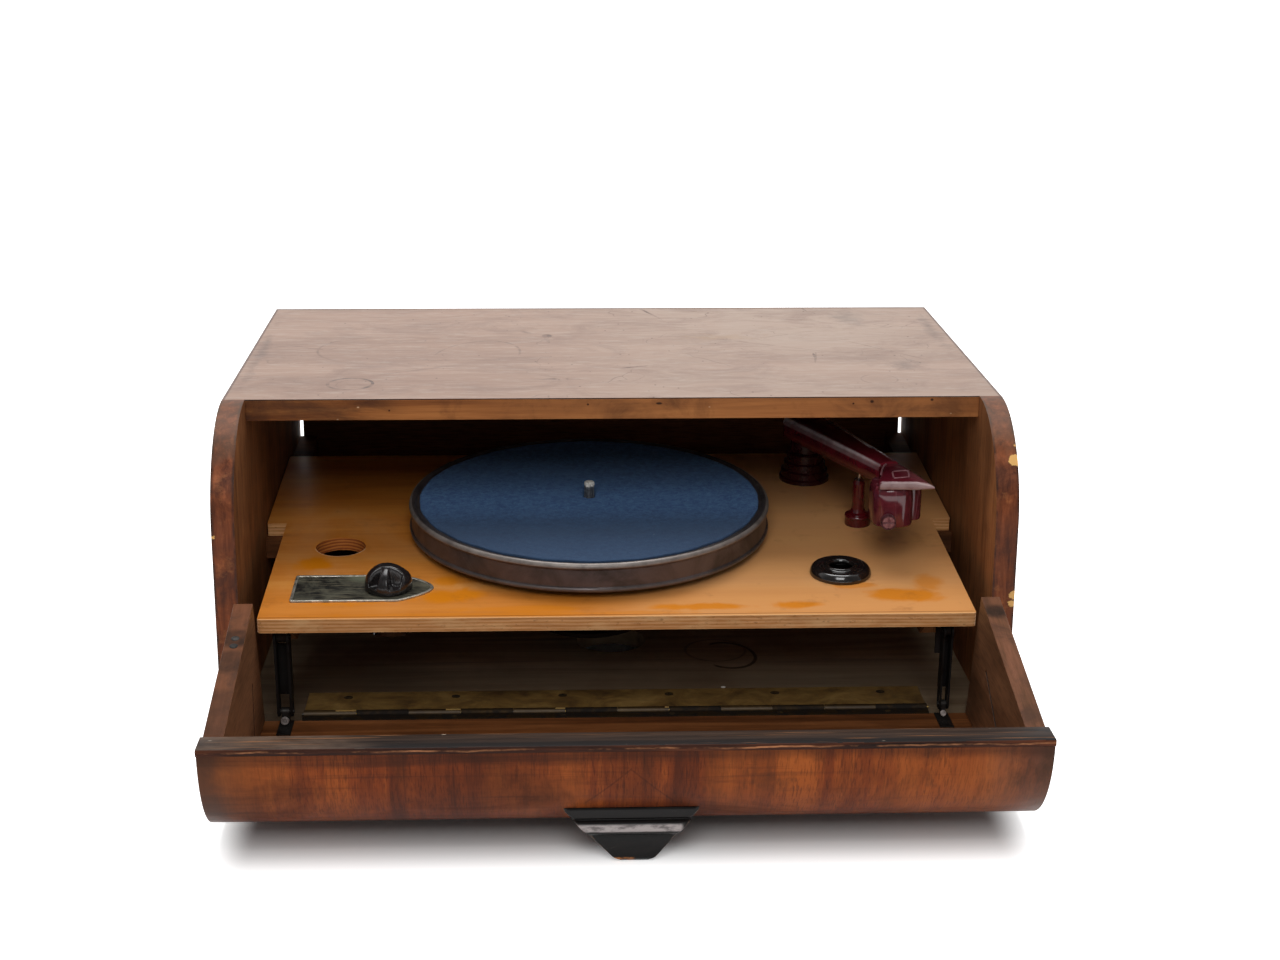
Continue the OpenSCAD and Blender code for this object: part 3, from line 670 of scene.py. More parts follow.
class Paint(Graph):
    """One material: a colour laid on in coats, over bumps."""

    def __init__(self, name: str) -> None:
        """Starts a material with a plain shader.

        Args:
            name: The material's name.
        """
        self.material = bpy.data.materials.new(name)
        self.material.use_nodes = True
        tree = self.material.node_tree
        tree.nodes.clear()
        out = tree.nodes.new("ShaderNodeOutputMaterial")
        self.shader = tree.nodes.new("ShaderNodeBsdfPrincipled")
        tree.links.new(self.shader.outputs[0], out.inputs[0])
        super().__init__(tree)
        self.colour: object = "ffffff"

    def coat(self, tint: object, share: object) -> None:
        """Lays a tint over the colour so far, as much of it as the share says."""
        self.colour = self.mix(share, self.colour, tint)

    def mottle(self, fine: float, main: str, other: str) -> None:
        """Colours moulded material: faint clouds of a second colour, and a hardly uneven skin.

        Args:
            fine: How small the clouds are.
            main: The main colour.
            other: The second one.
        """
        cloud = self.noise(fine, 6, 0.65, 1.5).fade(0.4, 0.66)
        self.colour = self.mix(cloud, main, other)
        self.bump(self.noise(400, 3), 0.04, 0.0002)

    def bump(self, height: object, strength: float, depth: float) -> None:
        """Raises the surface by a pattern, after any bump already set.

        Args:
            height: The pattern.
            strength: How much of it shows, from 0 to 1.
            depth: How high it stands, in metres.
        """
        inputs: dict[str, object] = {"Strength": strength, "Distance": depth, "Height": height}
        normal = self.shader.inputs["Normal"]
        if normal.is_linked:
            inputs["Normal"] = Value(self, normal.links[0].from_socket)
        self.put(normal, self.node("Bump", inputs, "Normal"))

    def finish(self, rough: object, shine: float = 0.5, **others: object) -> Material:
        """Sets the shader's colour, roughness, shine and other named inputs.

        Args:
            rough: The roughness.
            shine: The strength of plain reflections.
            others: More inputs, by name.

        Returns:
            The material.
        """
        inputs = {"Base Color": self.colour, "Roughness": rough, "Specular IOR Level": shine}
        for key, value in {**inputs, **others}.items():
            self.put(self.shader.inputs[key.replace("_", " ")], value)
        return self.material


@dataclass(frozen=True)
class Wood:
    """Veneer or board with streaked grain, pores, stains and dust.

    The grain runs along one axis: the patterns are stretched along it.
    """

    name: str
    pale: str
    deep: str
    along: Axis
    stain: str = "2a1a12"
    stain_share: float = 0.35
    dust_share: float = 0.0
    rough: float = 0.38
    shine: float = 0.4

    def make(self) -> Material:
        """Builds the material.

        Returns:
            The material.
        """
        g = Paint(self.name)
        stretch = np.ones(3)
        stretch[self.along.value] = 0.07
        lines = g.coords(stretch.tolist())
        broad = g.noise(24, 3, 0.5, 0.6, where=lines)
        fine = g.noise(190, 5, 0.65, 0.3, where=lines)
        pores = g.noise(900, 2, 0.5, where=lines)
        tone = broad * 0.6 + fine * 0.4
        g.colour = g.mix(tone.fade(0.34, 0.64), self.deep, self.pale)
        dark = pores.fade(0.36, 0.52, 1.0, 0.35)
        g.coat(g.mix(1.0, g.colour, dark, "MULTIPLY"), 0.5)
        blotch = g.noise(9, 5, 0.6, 0.8).fade(0.45, 0.75)
        g.coat(self.stain, blotch * self.stain_share)
        rough: object = self.rough
        if self.dust_share:
            film = g.noise(5.5, 6, 0.62, 0.4).fade(0.3, 0.7, 1.0, 0.25) * self.dust_share
            g.coat("b8a090", film)
            rough = self.rough + film * 0.3
        g.bump(fine, 0.12, 0.0004)
        g.bump(pores, 0.1, 0.0002)
        return g.finish(rough, self.shine)


@dataclass(frozen=True)
class Moulding:
    """Polished or dull moulded material with faint mottling and finger marks."""

    name: str
    main: str
    mottle: str
    rough: float = 0.18
    shine: float = 0.5

    def make(self) -> Material:
        """Builds the material.

        Returns:
            The material.
        """
        g = Paint(self.name)
        g.mottle(90, self.main, self.mottle)
        marks = g.noise(55, 5, 0.6, shift=(3, 1, 2)).fade(0.35, 0.75)
        return g.finish(self.rough + marks * 0.16, self.shine)


@dataclass(frozen=True)
class Metal:
    """Metal with a worn or tarnished skin.

    The tarnish is a rough, less metallic layer that a broad pattern lays over the bright metal.
    """

    name: str
    bright: str
    tarnish: str
    share: float
    rough: float
    fleck: float

    def make(self) -> Material:
        """Builds the material.

        Returns:
            The material.
        """
        g = Paint(self.name)
        start = 0.4 * self.share
        cover = g.noise(self.fleck, 7, 0.68, 0.6).fade(0.62 - start, 0.86 - start)
        g.colour = g.mix(cover, self.bright, self.tarnish)
        g.bump(g.noise(420, 5, 0.7), 0.12, 0.0002)
        return g.finish(self.rough + cover * 0.28, Metallic=1.0 - cover * 0.55)


class Finishes:
    """Every finish of the player, made once."""

    def __init__(self) -> None:
        """Builds the materials."""
        self.side = Wood(
            "side_veneer", "824a32", "4e2416", Axis.Z, stain_share=0.55, dust_share=0.1, shine=0.2
        ).make()
        self.inside = Wood(
            "inside_wood", "7b4c2c", "452817", Axis.X, stain_share=0.5, rough=0.62, shine=0.1
        ).make()
        self.inside_upright = Wood(
            "inside_side", "aa7248", "6c452a", Axis.Z, "2e1a0e", 0.6, rough=0.6, shine=0.1
        ).make()
        self.cheek = Wood(
            "cheek_wood", "9c6e4e", "66462f", Axis.Y, stain_share=0.4, rough=0.5, shine=0.12
        ).make()
        self.black = Moulding("bakelite_black", "110f0f", "1e1816", 0.07, 0.9).make()
        self.maroon = Moulding("bakelite_maroon", "560d14", "400910", 0.09, 0.8).make()
        self.foot = Moulding("foot_maroon", "380d12", "220a0d", 0.2, 0.5).make()
        # The cap's raised lines: rubbed pale maroon, the paleness partly a painted highlight for
        # their sheen.
        self.rubbed = Moulding("bakelite_rubbed_sheen", "8e686c", "5a2c34", 0.3).make()
        self.seam = Moulding("seam_dark", "3a2820", "20150f", 0.6, 0.2).make()
        self.rivet = Moulding("rivet_steel", "b4aca8", "5c5450", 0.35, 0.7).make()
        self.knob = Moulding("knob_black", "151313", "241f20", 0.15, 0.6).make()
        self.rubber = Moulding("rubber_black", "1b1a19", "2a2725", 0.7, 0.2).make()
        self.winding = Moulding("motor_winding", "4a3d30", "2c241c", 0.5, 0.3).make()
        self.plate_rim = Metal("plate_rim", "c4c0b4", "6c685c", 0.5, 0.36, 160).make()
        self.leaf_dark = Metal("hinge_dark", "4e3c22", "1c140c", 0.8, 0.5, 60).make()
        self.leaf_screw = Metal("leaf_screw", "6e5a34", "2c2216", 0.8, 0.5, 300).make()
        self.steel = Metal("steel_dark", "3c3a38", "1e1a18", 0.6, 0.46, 70).make()
        self.lever = Metal("lever_steel", "2c2a29", "141211", 0.7, 0.5, 70).make()
        self.bright = Metal("steel_bright", "c8c6c2", "8c867e", 0.25, 0.16, 120).make()
        self.side_band = self._band()
        self.top = self._top()
        self.raw_edge = self._raw_edge()
        self.base = self._base()
        self.tray = self._tray()
        self.cheek_edge = self._cheek_edge()
        self.front = self._front()
        self.ply = self._ply()
        self.ply_edge = self._ply_edge()
        self.lip = self._lip()
        self.lip_edge = self._lip_edge()
        self.handle = self._handle()
        self.plate = self._plate()
        self.head = self._head()
        self.disc = self._disc()
        self.arm = self._arm()
        self.cap = self._cap()
        self.brass = self._brass()
        self.knuckles = self._knuckles()
        self.spindle = self._spindle()
        self.bronze = self._bronze()
        self.felt = self._felt()

    def _arm(self) -> Material:
        """Maroon moulding with painted highlights: a grey line on its left ridge, a white glint on
        its right edge.

        Returns:
            The material.
        """
        g = Paint("arm_maroon")
        length = g.within(ARM, Axis.X)
        across = g.within(ARM, Axis.Y)
        high = g.within(ARM, Axis.Z)
        rear_half, taper = 0.0170, 0.0655
        half = rear_half - length * taper
        left = across + half
        right = half - across
        over = high.above(0.0035, 0.0015)
        # Painted highlight: a broad grey line along the left ridge, thinner and fainter towards the
        # front.
        rear_line, thinning = 0.0054, 0.028
        thin = rear_line - length * thinning
        ridge = (left / thin).ramp((0.15, 0.25), (0.5, 1.0), (0.98, 0.0))
        fade = length.below(0.118, 0.03)
        ridge = ridge * over * (0.35 + fade * 0.65)
        ridge = ridge * g.noise(60, 5, 0.6).fade(0.3, 0.6, 1.0, 0.5)
        # Painted glint: a thin white line along the right edge of the top, over the rear part of
        # the arm.
        far = length.below(0.098, 0.012)
        edge = right.band(0.0012, 0.0058, 0.0006) * (over * far)
        g.mottle(70, "6a1a26", "4c1018")
        g.coat("ece0e0", ridge * 0.95)
        g.coat("ffffff", edge)
        return g.finish(0.16 + ridge * 0.3, shine=0.6)

    def _disc(self) -> Material:
        """Rubbed maroon of the needle screw: a pale ring and a worn middle.

        Returns:
            The material.
        """
        g = Paint("disc_rubbed")
        middle_x, middle_z = 0.1816, 0.1394
        out = g.reach(g.x - middle_x, g.z - middle_z)
        cloud = g.noise(380, 5, 0.7, 1.0).fade(0.4, 0.62)
        g.colour = g.mix(cloud, "6c3c40", "8e6466")
        g.coat("3e1a20", out.band(0.0043, 0.0050, 0.0005))
        g.coat("a88488", out.above(0.0056, 0.0004) * 0.6)
        g.bump(cloud, 0.1, 0.0002)
        return g.finish(0.32, shine=0.4)

    def _head(self) -> Material:
        """Plum moulding of the pick-up, with painted highlights in pale upright streaks.

        Returns:
            The material.
        """
        g = Paint("head_maroon")
        g.mottle(110, "5e222c", "48161e")
        # Painted highlights: pale upright streaks on the rounded faces, where the lamps would shine
        # back.
        streaks = g.noise(210, 4, 0.7, stretch=(1, 1, 0.06)).fade(0.54, 0.7, 0.55)
        g.coat("9c6a70", streaks)
        return g.finish(0.12 + streaks * 0.2, shine=0.5)

    def _cap(self) -> Material:
        """Maroon moulding of the head's cap, with a painted grey-pink sheen on its front rim and a
        fainter one on its thin tip.

        Returns:
            The material.
        """
        g = Paint("cap_maroon")
        forward = g.within(HEAD, Axis.Y)
        across = g.within(HEAD, Axis.X)
        ripple = g.noise(90, 5, 0.65) * 0.0016
        # Painted sheen: the front rim is coated grey-pink in a broken band, and the thin right tip
        # a little paler.
        rim = (forward + ripple).below(-0.0462, 0.0012)
        tip = (across + forward * 0.22).above(0.0075, 0.012)
        g.mottle(110, "561420", "420f18")
        g.coat("8a5458", tip * 0.35)
        worn = rim * g.noise(140, 5, 0.6).fade(0.3, 0.6, 0.95, 0.55)
        g.coat("947a78", worn)
        return g.finish(0.16 + worn * 0.25, shine=0.6)

    def _band(self) -> Material:
        """Front bands of the sides: red-brown, mottled, with dark edges, pale chips and a painted
        sheen greying their upper part.

        Returns:
            The material.
        """
        g = Paint("side_band")
        tone = g.noise(160, 5, 0.7, 0.4, stretch=(1, 1, 0.08))
        g.colour = tone.ramp((0.34, "4e2614"), (0.5, "743c20"), (0.66, "925030"))
        g.coat("3a2018", g.noise(42, 6, 0.7, 0.6).fade(0.42, 0.66, 0.75))
        g.coat("a8683c", g.noise(70, 5, 0.7, shift=(3, 0, 1)).fade(0.56, 0.7, 0.5))
        side_middle = 0.2525
        across = abs(abs(g.x) - side_middle)
        rims = 1.0 - across.below(0.0052, 0.0018)
        ragged = g.noise(90, 4, 0.6).fade(0.35, 0.6, 0.85, 0.2)
        g.coat("2a1a12", rims * ragged)
        # Painted sheen: the upper part of each band, where it turns up into the top, is greyed.
        g.coat("7a6250", (g.z - ragged * 0.012).above(0.198, 0.02) * 0.35)
        for spot, size in (
            ((0.2590, -0.056, 0.2105), 0.0034),
            ((0.2595, -0.0675, 0.1965), 0.0030),
            ((0.2580, -0.0735, 0.1880), 0.0062),
            ((0.2550, -0.0735, 0.1868), 0.0040),
            ((0.2595, -0.0886, 0.1010), 0.0050),
            ((0.2585, -0.0886, 0.0950), 0.0040),
            ((-0.2590, -0.0886, 0.1450), 0.0030),
        ):
            g.coat("e0ae68", g.near(spot, size, 0.0006, 0.0042))
        g.bump(tone, 0.15, 0.0004)
        return g.finish(0.42, shine=0.15)

    def _base(self) -> Material:
        """Floor of the case: olive-brown board with streaks and a scratched loop.

        Returns:
            The material.
        """
        g = Paint("base_wood")
        tone = g.noise(60, 6, 0.65, 0.6, stretch=(0.05, 1, 1))
        g.colour = tone.ramp((0.3, "7c6a56"), (0.5, "a28e74"), (0.7, "b8a488"))
        g.coat("3e3022", g.y.below(-0.038, 0.05) * 0.6)
        g.coat("3a2e26", g.x.below(-0.160, 0.06) * 0.45)
        g.coat("5c4630", g.noise(9, 5, 0.6, shift=(1, 4, 0)).fade(0.45, 0.75, 0.6))
        open_side = g.x.above(0.073, 0.004)
        loop = g.oval((82, 20), (20, 26), 12).above(0.93, 0.05) * open_side
        inner_loop = g.oval((74, 30), (22, 22), -18).above(0.95, 0.04)
        g.coat("2a1e14", g.most(loop, inner_loop * 0.5) * 0.75)
        g.coat("f4efe4", g.near((0.074, -0.040, 0.019), 0.0012, 0.0008))
        g.bump(tone, 0.2, 0.0005)
        return g.finish(0.7, shine=0.05)

    def _cheek_edge(self) -> Material:
        """Sloping top edges of the cheeks: dull pinkish brown, with dark knots and dirt.

        Returns:
            The material.
        """
        g = Paint("cheek_edge")
        grain = g.noise(190, 5, 0.7, stretch=(1, 0.08, 0.08))
        g.colour = grain.ramp((0.35, "583a26"), (0.65, "7e523c"))
        g.coat("6c4028", g.x.below(0.0, 0.01) * 0.5)
        g.coat("4a3226", g.noise(32, 6, 0.68, 0.8).fade(0.46, 0.66, 0.8))
        for spot, size, share in (
            ((0.2372, -0.1350, 0.106), 0.0042, 0.85),
            ((-0.2372, -0.1560, 0.100), 0.0070, 0.85),
            ((-0.2372, -0.1800, 0.094), 0.0090, 0.6),
            ((-0.2372, -0.2350, 0.083), 0.0240, 0.45),
        ):
            knot = g.near(spot, size, 0.006) * g.noise(120, 4).fade(0.3, 0.6, 1.0, 0.6)
            g.coat("221812", knot * share)
        g.bump(grain, 0.2, 0.0004)
        return g.finish(0.5, shine=0.06)

    def _lip(self) -> Material:
        """Strip over the front: black, with long splinter lines, grey-brown at its left end.

        Returns:
            The material.
        """
        g = Paint("lip_black")
        lines = g.coords((0.03, 1, 1))
        tone = g.noise(120, 6, 0.7, 0.5, where=lines)
        g.colour = tone.ramp((0.36, "0e0c0c"), (0.56, "221b1a"), (0.7, "4c3e36"))
        rear = g.y.above(-0.2720, 0.003)
        g.coat("46362c", rear * tone.fade(0.4, 0.6, 0.6, 0.1))
        left = (g.x + g.noise(300, 2, where=lines) * 0.05).below(-0.148, 0.04)
        old = g.noise(60, 6, 0.7, stretch=(0.25, 1, 1)).ramp((0.35, "33261f"), (0.65, "6c584a"))
        g.coat(old, left)
        split = g.noise(420, 3, 0.6, stretch=(0.02, 1, 1), shift=(0, 4, 0))
        g.coat("95643f", split.fade(0.62, 0.68, 0.9))
        flecks = g.cells(130, stretch=(0.4, 1, 1)).fade(0.05, 0.09, 0.0, 1.0)
        some = g.noise(30, 2, shift=(2, 2, 0)).fade(0.56, 0.6, 0.9)
        g.coat("a89888", flecks * some)
        g.bump(tone, 0.25, 0.0004)
        return g.finish(0.42, shine=0.08)

    @staticmethod
    def _every_other(g: Paint) -> Value:
        """Is 1 on every other knuckle of the hinge, by the place within a pitch of two."""
        first, pitch = 0.187, 0.0725
        return g.cycle((g.x + first) / pitch).band(0.02, 0.48, 0.01)

    def _brass(self) -> Material:
        """Hinge leaves: olive, tarnished brass; every other knuckle is rubbed bright, shown by a
        painted highlight along its crest.

        Returns:
            The material.
        """
        g = Paint("brass_aged")
        skin = g.noise(40, 7, 0.7, 0.6)
        g.colour = skin.ramp((0.34, "5a4226"), (0.5, "866838"), (0.68, "a88850"))
        stain = g.noise(30, 5, 0.65, stretch=(0.3, 1, 1), shift=(2, 0, 0))
        g.coat("4e3e26", stain.fade(0.5, 0.7, 0.7))
        bright = self._every_other(g)
        barrel = g.y.band(-0.0845, -0.0768, 0.0003)
        # Painted highlight: a bright line along the barrel's crest, on every other knuckle.
        barrel_crest_highlight = g.y.band(-0.0815, -0.0786, 0.0004)
        g.coat("2a2116", barrel * 0.8)
        g.coat("f0cc80", barrel_crest_highlight * bright)
        g.bump(g.noise(420, 5, 0.7), 0.12, 0.0002)
        return g.finish(0.5, Metallic=0.3 + barrel_crest_highlight * 0.4)

    def _lip_edge(self) -> Material:
        """Front edge of the strip: dark red-brown, its top arris worn to a broken pale line.

        Returns:
            The material.
        """
        g = Paint("lip_edge")
        tone = g.noise(130, 6, 0.7, 0.5, stretch=(0.05, 1, 1))
        g.colour = tone.ramp((0.36, "150a07"), (0.52, "381c11"), (0.68, "5e321e"))
        wander = g.noise(26, 3, 0.6, stretch=(1, 0, 0)) * 0.0040
        line = (g.z + wander).band(0.0812, 0.0818, 0.0004)
        broken = g.noise(60, 5, 0.7, stretch=(0.3, 1, 1)).fade(0.46, 0.62, 0.8)
        g.coat("b87c54", line * broken)
        g.bump(tone, 0.25, 0.0004)
        return g.finish(0.5, shine=0.1)

    def _knuckles(self) -> Material:
        """Brass of the hinge's barrel: every other knuckle is rubbed bright.

        Returns:
            The material.
        """
        g = Paint("hinge_knuckles")
        bright = self._every_other(g)
        skin = g.noise(160, 6, 0.7)
        g.colour = g.mix(bright * skin.fade(0.3, 0.6, 1.0, 0.4), "2c2216", "d8b46a")
        g.bump(skin, 0.15, 0.0002)
        return g.finish(0.36, Metallic=bright * 0.9)

    def _top(self) -> Material:
        """Polished top veneer, dulled by dust, with scratches, a cup ring and scattered specks.

        Returns:
            The material.
        """
        g = Paint("top_veneer")
        lines = g.coords((0.04, 1, 1))
        broad = g.noise(22, 4, 0.6, 0.6, where=lines)
        fine = g.noise(230, 5, 0.65, 0.3, where=lines)
        tone = broad * 0.6 + fine * 0.4
        g.colour = tone.ramp((0.34, "846250"), (0.5, "9a7864"), (0.66, "aa8a78"))
        right = g.x.above(0.09, 0.22)
        film = g.noise(5, 7, 0.62, 0.7).fade(0.32, 0.7, 1.0, 0.15) * (0.45 + right * 0.4)
        g.coat(g.mix(right, "aa8e7e", "b4a092"), film)
        grime = g.noise(22, 9, 0.74, 0.9, stretch=(0.6, 1, 1)).fade(0.47, 0.7, 0.6)
        g.coat("74574a", grime)
        ripple = g.noise(70, 7, 0.74, 0.6)
        for middle, half, turn, share, tint in (
            ((190, 236), (26, 60), 10, 0.4, "5f5650"),
            ((209, 74), (20, 34), -20, 0.5, "4c3c34"),
            ((-190, 10), (62, 24), 0, 0.4, "6a4432"),
            ((80, 168), (60, 22), 4, 0.35, "a48258"),
            ((250, 190), (10, 110), 0, 0.5, "54443c"),
            ((-252, 120), (8, 170), 0, 0.5, "4a342a"),
        ):
            spread = g.oval(middle, half, turn) + ripple * 2.2
            patch = (spread - 0.7).fade(0.4, 1.0, 0.0, 1.0)
            g.coat(tint, patch * share)
        broken = g.noise(75, 4, 0.6).fade(0.36, 0.58, 1.0, 0.15)
        marks: object = 0.0
        for middle, half, turn, low, wide, share, cut in (
            ((-179.4, 24.3), (16, 17), 0, 0.90, 0.11, 0.95, None),
            ((-176, 22), (13, 14.5), 0, 0.95, 0.04, 0.4, None),
            ((185, 31), (13, 14), 0, 0.94, 0.06, 0.35, None),
            ((-96, 108), (30, 50), -14, 0.985, 0.02, 0.7, g.y.above(0.118, 0.01)),
            ((-178, 128), (34, 40), 0, 0.985, 0.02, 0.5, g.x.below(-0.200, 0.01)),
            ((34, 262), (1.0, 27), 20, 0.0, 1.0, 0.9, None),
            ((-45, 174), (3.2, 4.4), 0, 0.0, 1.0, 0.9, None),
            ((-45, 160), (1.2, 9), 10, 0.0, 1.0, 0.5, None),
            ((17, 71), (9, 1.0), 20, 0.0, 1.0, 0.8, None),
            ((149, 103), (1.0, 7), 0, 0.0, 1.0, 0.9, None),
            ((149, 98), (0.7, 14), -8, 0.0, 1.0, 0.5, None),
            ((-140, 62), (24, 0.8), 28, 0.0, 1.0, 0.5, None),
            ((120, 140), (40, 0.7), -30, 0.0, 1.0, 0.35, None),
            ((205, 120), (34, 0.8), -52, 0.0, 1.0, 0.45, None),
        ):
            line = g.oval(middle, half, turn).band(low, low + wide, 0.03 if low else 0.4)
            if cut:
                line = line * cut
            marks = g.most(marks, line * share)
        marks = marks * broken
        bent = g.mix(0.12, g.coords(), g.noise(14, 3, 0.5), "ADD")
        scratch = g.cells(11, "DISTANCE_TO_EDGE", where=bent).fade(0.0, 0.006, 0.0, 1.0)
        scratch = scratch * g.noise(13, 3, shift=(5, 2, 0)).fade(0.52, 0.62, 0.7)
        specks = g.cells(120, stretch=(1, 0.6, 1)).fade(0.05, 0.11, 0.0, 1.0)
        specks = specks * g.noise(18, 2, shift=(1, 7, 0)).fade(0.46, 0.54, 0.8)
        marks = g.most(marks, scratch, specks)
        rear = g.y.above(0.2745, 0.002)
        ends = abs(g.x).above(0.2586, 0.0008)
        marks = g.most(marks, g.most(rear, ends) * 0.8)
        g.coat("4e3226", marks)
        dustier = g.noise(300, 5, 0.7, stretch=(0.2, 1, 1), shift=(3, 3, 0))
        g.coat("bcaca0", dustier.fade(0.5, 0.7, 0.4))
        g.bump(fine, 0.1, 0.0003)
        g.bump(marks, -0.3, 0.0003)
        return g.finish(0.36 + film * 0.2, shine=0.4)

    @staticmethod
    def _figured(g: Paint) -> tuple[Value, Value]:
        """Coats a material as figured veneer: grain up the curve, pores, rubbed bands and smudges.

        Args:
            g: The material.

        Returns:
            Its fine grain and its dirt.
        """
        lines = g.coords((1, 0.07, 0.07))
        broad = g.noise(15, 4, 0.6, 1.1, where=lines)
        fine = g.noise(170, 6, 0.7, 0.4, where=lines)
        pores = g.noise(1200, 3, 0.6, stretch=(1, 0.1, 0.1))
        tone = broad * 0.6 + fine * 0.4
        g.colour = tone.ramp((0.38, "50220f"), (0.5, "7a3818"), (0.62, "9c5022"))
        g.coat("30150a", pores.fade(0.38, 0.5, 0.0, 0.5))
        flame = g.noise(13, 3, stretch=(1, 0.3, 0.3), shift=(2, 0, 0)).fade(0.5, 0.7, 0.6)
        g.coat("b0622c", flame)
        rubs = g.noise(110, 5, 0.7, 0.5, stretch=(0.04, 1, 1))
        g.coat("3a1c10", rubs.fade(0.55, 0.7, 0.55))
        dirt = g.noise(15, 6, 0.66, 0.7, stretch=(0.6, 1, 1)).fade(0.46, 0.68, 0.75)
        g.coat("3a2016", dirt)
        return fine, dirt

    def _tray(self) -> Material:
        """Floor of the flap: stained board inside, the front's veneer on its outer face.

        Returns:
            The material.
        """
        g = Paint("tray_wood")
        fine, dirt = self._figured(g)
        g.coat("4a2414", 0.4)
        veneer = g.colour
        tone = g.noise(90, 6, 0.65, 0.5, stretch=(0.07, 1, 1))
        g.colour = tone.ramp((0.34, "54301a"), (0.5, "744626"), (0.66, "8f5a34"))
        g.coat("2e1c12", g.noise(14, 5, 0.6, 0.8).fade(0.45, 0.75, 0.5))
        outer = g.z.below(0.0165, 0.0008)
        g.bump(g.mix(outer, tone, fine), 0.12, 0.0004)
        g.coat(veneer, outer)
        return g.finish(0.4 + dirt * 0.2, shine=0.1)

    def _front(self) -> Material:
        """Figured veneer of the curved front, darker at its ends, top and foot.

        Returns:
            The material.
        """
        g = Paint("front_veneer")
        fine, dirt = self._figured(g)
        ragged = g.noise(30, 4, 0.6) * 0.03
        ends = 1.0 - (g.x + ragged).band(-0.195, 0.236, 0.03)
        g.coat("3a2a22", ends * 0.8)
        g.coat("6e4e3e", (g.x + ragged).above(0.236, 0.03) * 0.35)
        smudge = g.noise(26, 6, 0.7, stretch=(1, 0.5, 0.5), shift=(5, 1, 0))
        there = g.x.above(0.04, 0.05) * g.z.above(0.052, 0.012)
        g.coat("241c12", smudge.fade(0.52, 0.64, 0.6) * there)
        height = g.z + ragged * 0.35
        upper = 1.0 - height.below(0.0735, 0.008)
        lower = 1.0 - height.above(0.040, 0.024)
        g.coat("2a160e", upper * 0.55)
        g.coat("4a2414", lower * 0.5)
        middle, seam_at = g.x - 0.001, -0.004
        apart = abs(middle)
        arch = (g.z + apart).band(0.0655, 0.0665, 0.0006)
        seam = (middle - seam_at).band(-0.0003, 0.0003, 0.0005)
        near_handle = apart.below(0.024, 0.004)
        g.coat("30160c", g.most(arch, seam) * near_handle * 0.4)
        g.coat("1c0e08", g.near((0.005, -0.2860, 0.0595), 0.0011, 0.0008))
        g.bump(fine, 0.12, 0.0004)
        return g.finish(0.36 + dirt * 0.3, shine=0.08)

    def _raw_edge(self) -> Material:
        """Bare front edge of the top panel, with filled nail holes.

        Returns:
            The material.
        """
        g = Paint("raw_edge")
        tone = g.noise(150, 5, 0.7, 0.3, stretch=(0.04, 1, 1))
        g.colour = tone.ramp((0.34, "643516"), (0.5, "8a5228"), (0.66, "ac6e3a"))
        g.coat("b4794a", g.x.above(0.0, 0.2) * 0.4)
        left = g.x.below(-0.165, 0.03)
        smear = g.noise(45, 6, 0.7, 0.8, stretch=(0.4, 1, 1)).fade(0.36, 0.6, 1.0, 0.15)
        g.coat("3c2418", left * (smear * 0.75))
        g.coat("4a2c1c", g.noise(26, 6, 0.68, 0.5).fade(0.5, 0.7, 0.6))
        for x, z, wide, tall in (
            (29.5, 214.0, 2.6, 1.0),
            (-18, 213.5, 1.0, 0.9),
            (172.5, 214.5, 1.6, 1.3),
            (160, 213.2, 0.9, 0.8),
            (213, 215.6, 1.3, 1.1),
            (-150, 210, 0.8, 0.8),
        ):
            spot = g.ball((x, -18, z), (wide, 1e6, tall)).fade(0.55, 1.0, 0.0, 0.9)
            g.coat("22140c", spot)
        nicks = g.cells(170, stretch=(0.6, 1, 1)).fade(0.06, 0.12, 0.0, 1.0)
        some = g.noise(28, 2, shift=(4, 4, 0)).fade(0.56, 0.6, 0.8)
        g.coat("d8b48c", nicks * some)
        g.bump(tone, 0.25, 0.0004)
        return g.finish(0.6, shine=0.15)

    def _ply(self) -> Material:
        """Varnished board: honey-coloured, with drifting bands, orange patches and scratches.

        Returns:
            The material.
        """
        g = Paint("board_ply")
        lines = g.coords((0.09, 1, 1))
        broad = g.noise(20, 4, 0.55, 1.2, where=lines)
        fine = g.noise(260, 5, 0.65, 0.2, where=lines)
        tone = broad * 0.7 + fine * 0.3
        g.colour = tone.ramp((0.33, "b66a24"), (0.5, "ca7e34"), (0.66, "d69044"))
        g.coat("deaa76", (g.x + g.noise(9, 4, 0.6) * 0.12).above(0.13, 0.12) * 0.6)
        back = g.y.above(-0.055, 0.03)
        worn = g.noise(8, 6, 0.65, 0.8, shift=(7, 1, 0)).fade(0.5, 0.76, 0.55)
        worn = worn * (0.2 + back * 0.8)
        g.coat("d4a472", worn)
        ripple = g.noise(34, 4, 0.6, 0.8, shift=(2, 3, 0))
        g.coat("cc7a1c", g.y.below(-0.078, 0.02) * 0.2)
        for middle, half, turn, share in (
            ((-205, -22), (14, 17), 0, 0.95),
            ((-110, -78), (26, 14), 10, 0.9),
            ((-180, -84), (40, 10), 0, 0.9),
            ((-112, -52), (14, 14), 0, 0.75),
            ((56, -99), (40, 8), 0, 0.85),
            ((118, -97), (24, 8), 0, 0.85),
            ((190, -84), (30, 12), -8, 0.85),
            ((160, -66), (20, 6), 6, 0.6),
            ((208, -62), (12, 16), 0, 0.6),
            ((-60, -100), (70, 6), 0, 0.5),
            (HOLE_SEEN, (21, 20), 0, 0.5),
            ((-60, -108), (180, 4), 0, 0.4),
        ):
            spread = g.oval(middle, half, turn) + ripple * 1.5
            patch = (spread - 0.86).fade(0.45, 0.85, 0.0, 1.0)
            g.coat("d07a08", patch * share)
        g.coat("8a5426", g.noise(30, 5, 0.65, shift=(4, 8, 0)).fade(0.58, 0.76, 0.5))
        rear_half = g.y.below(0.004, 0.004)
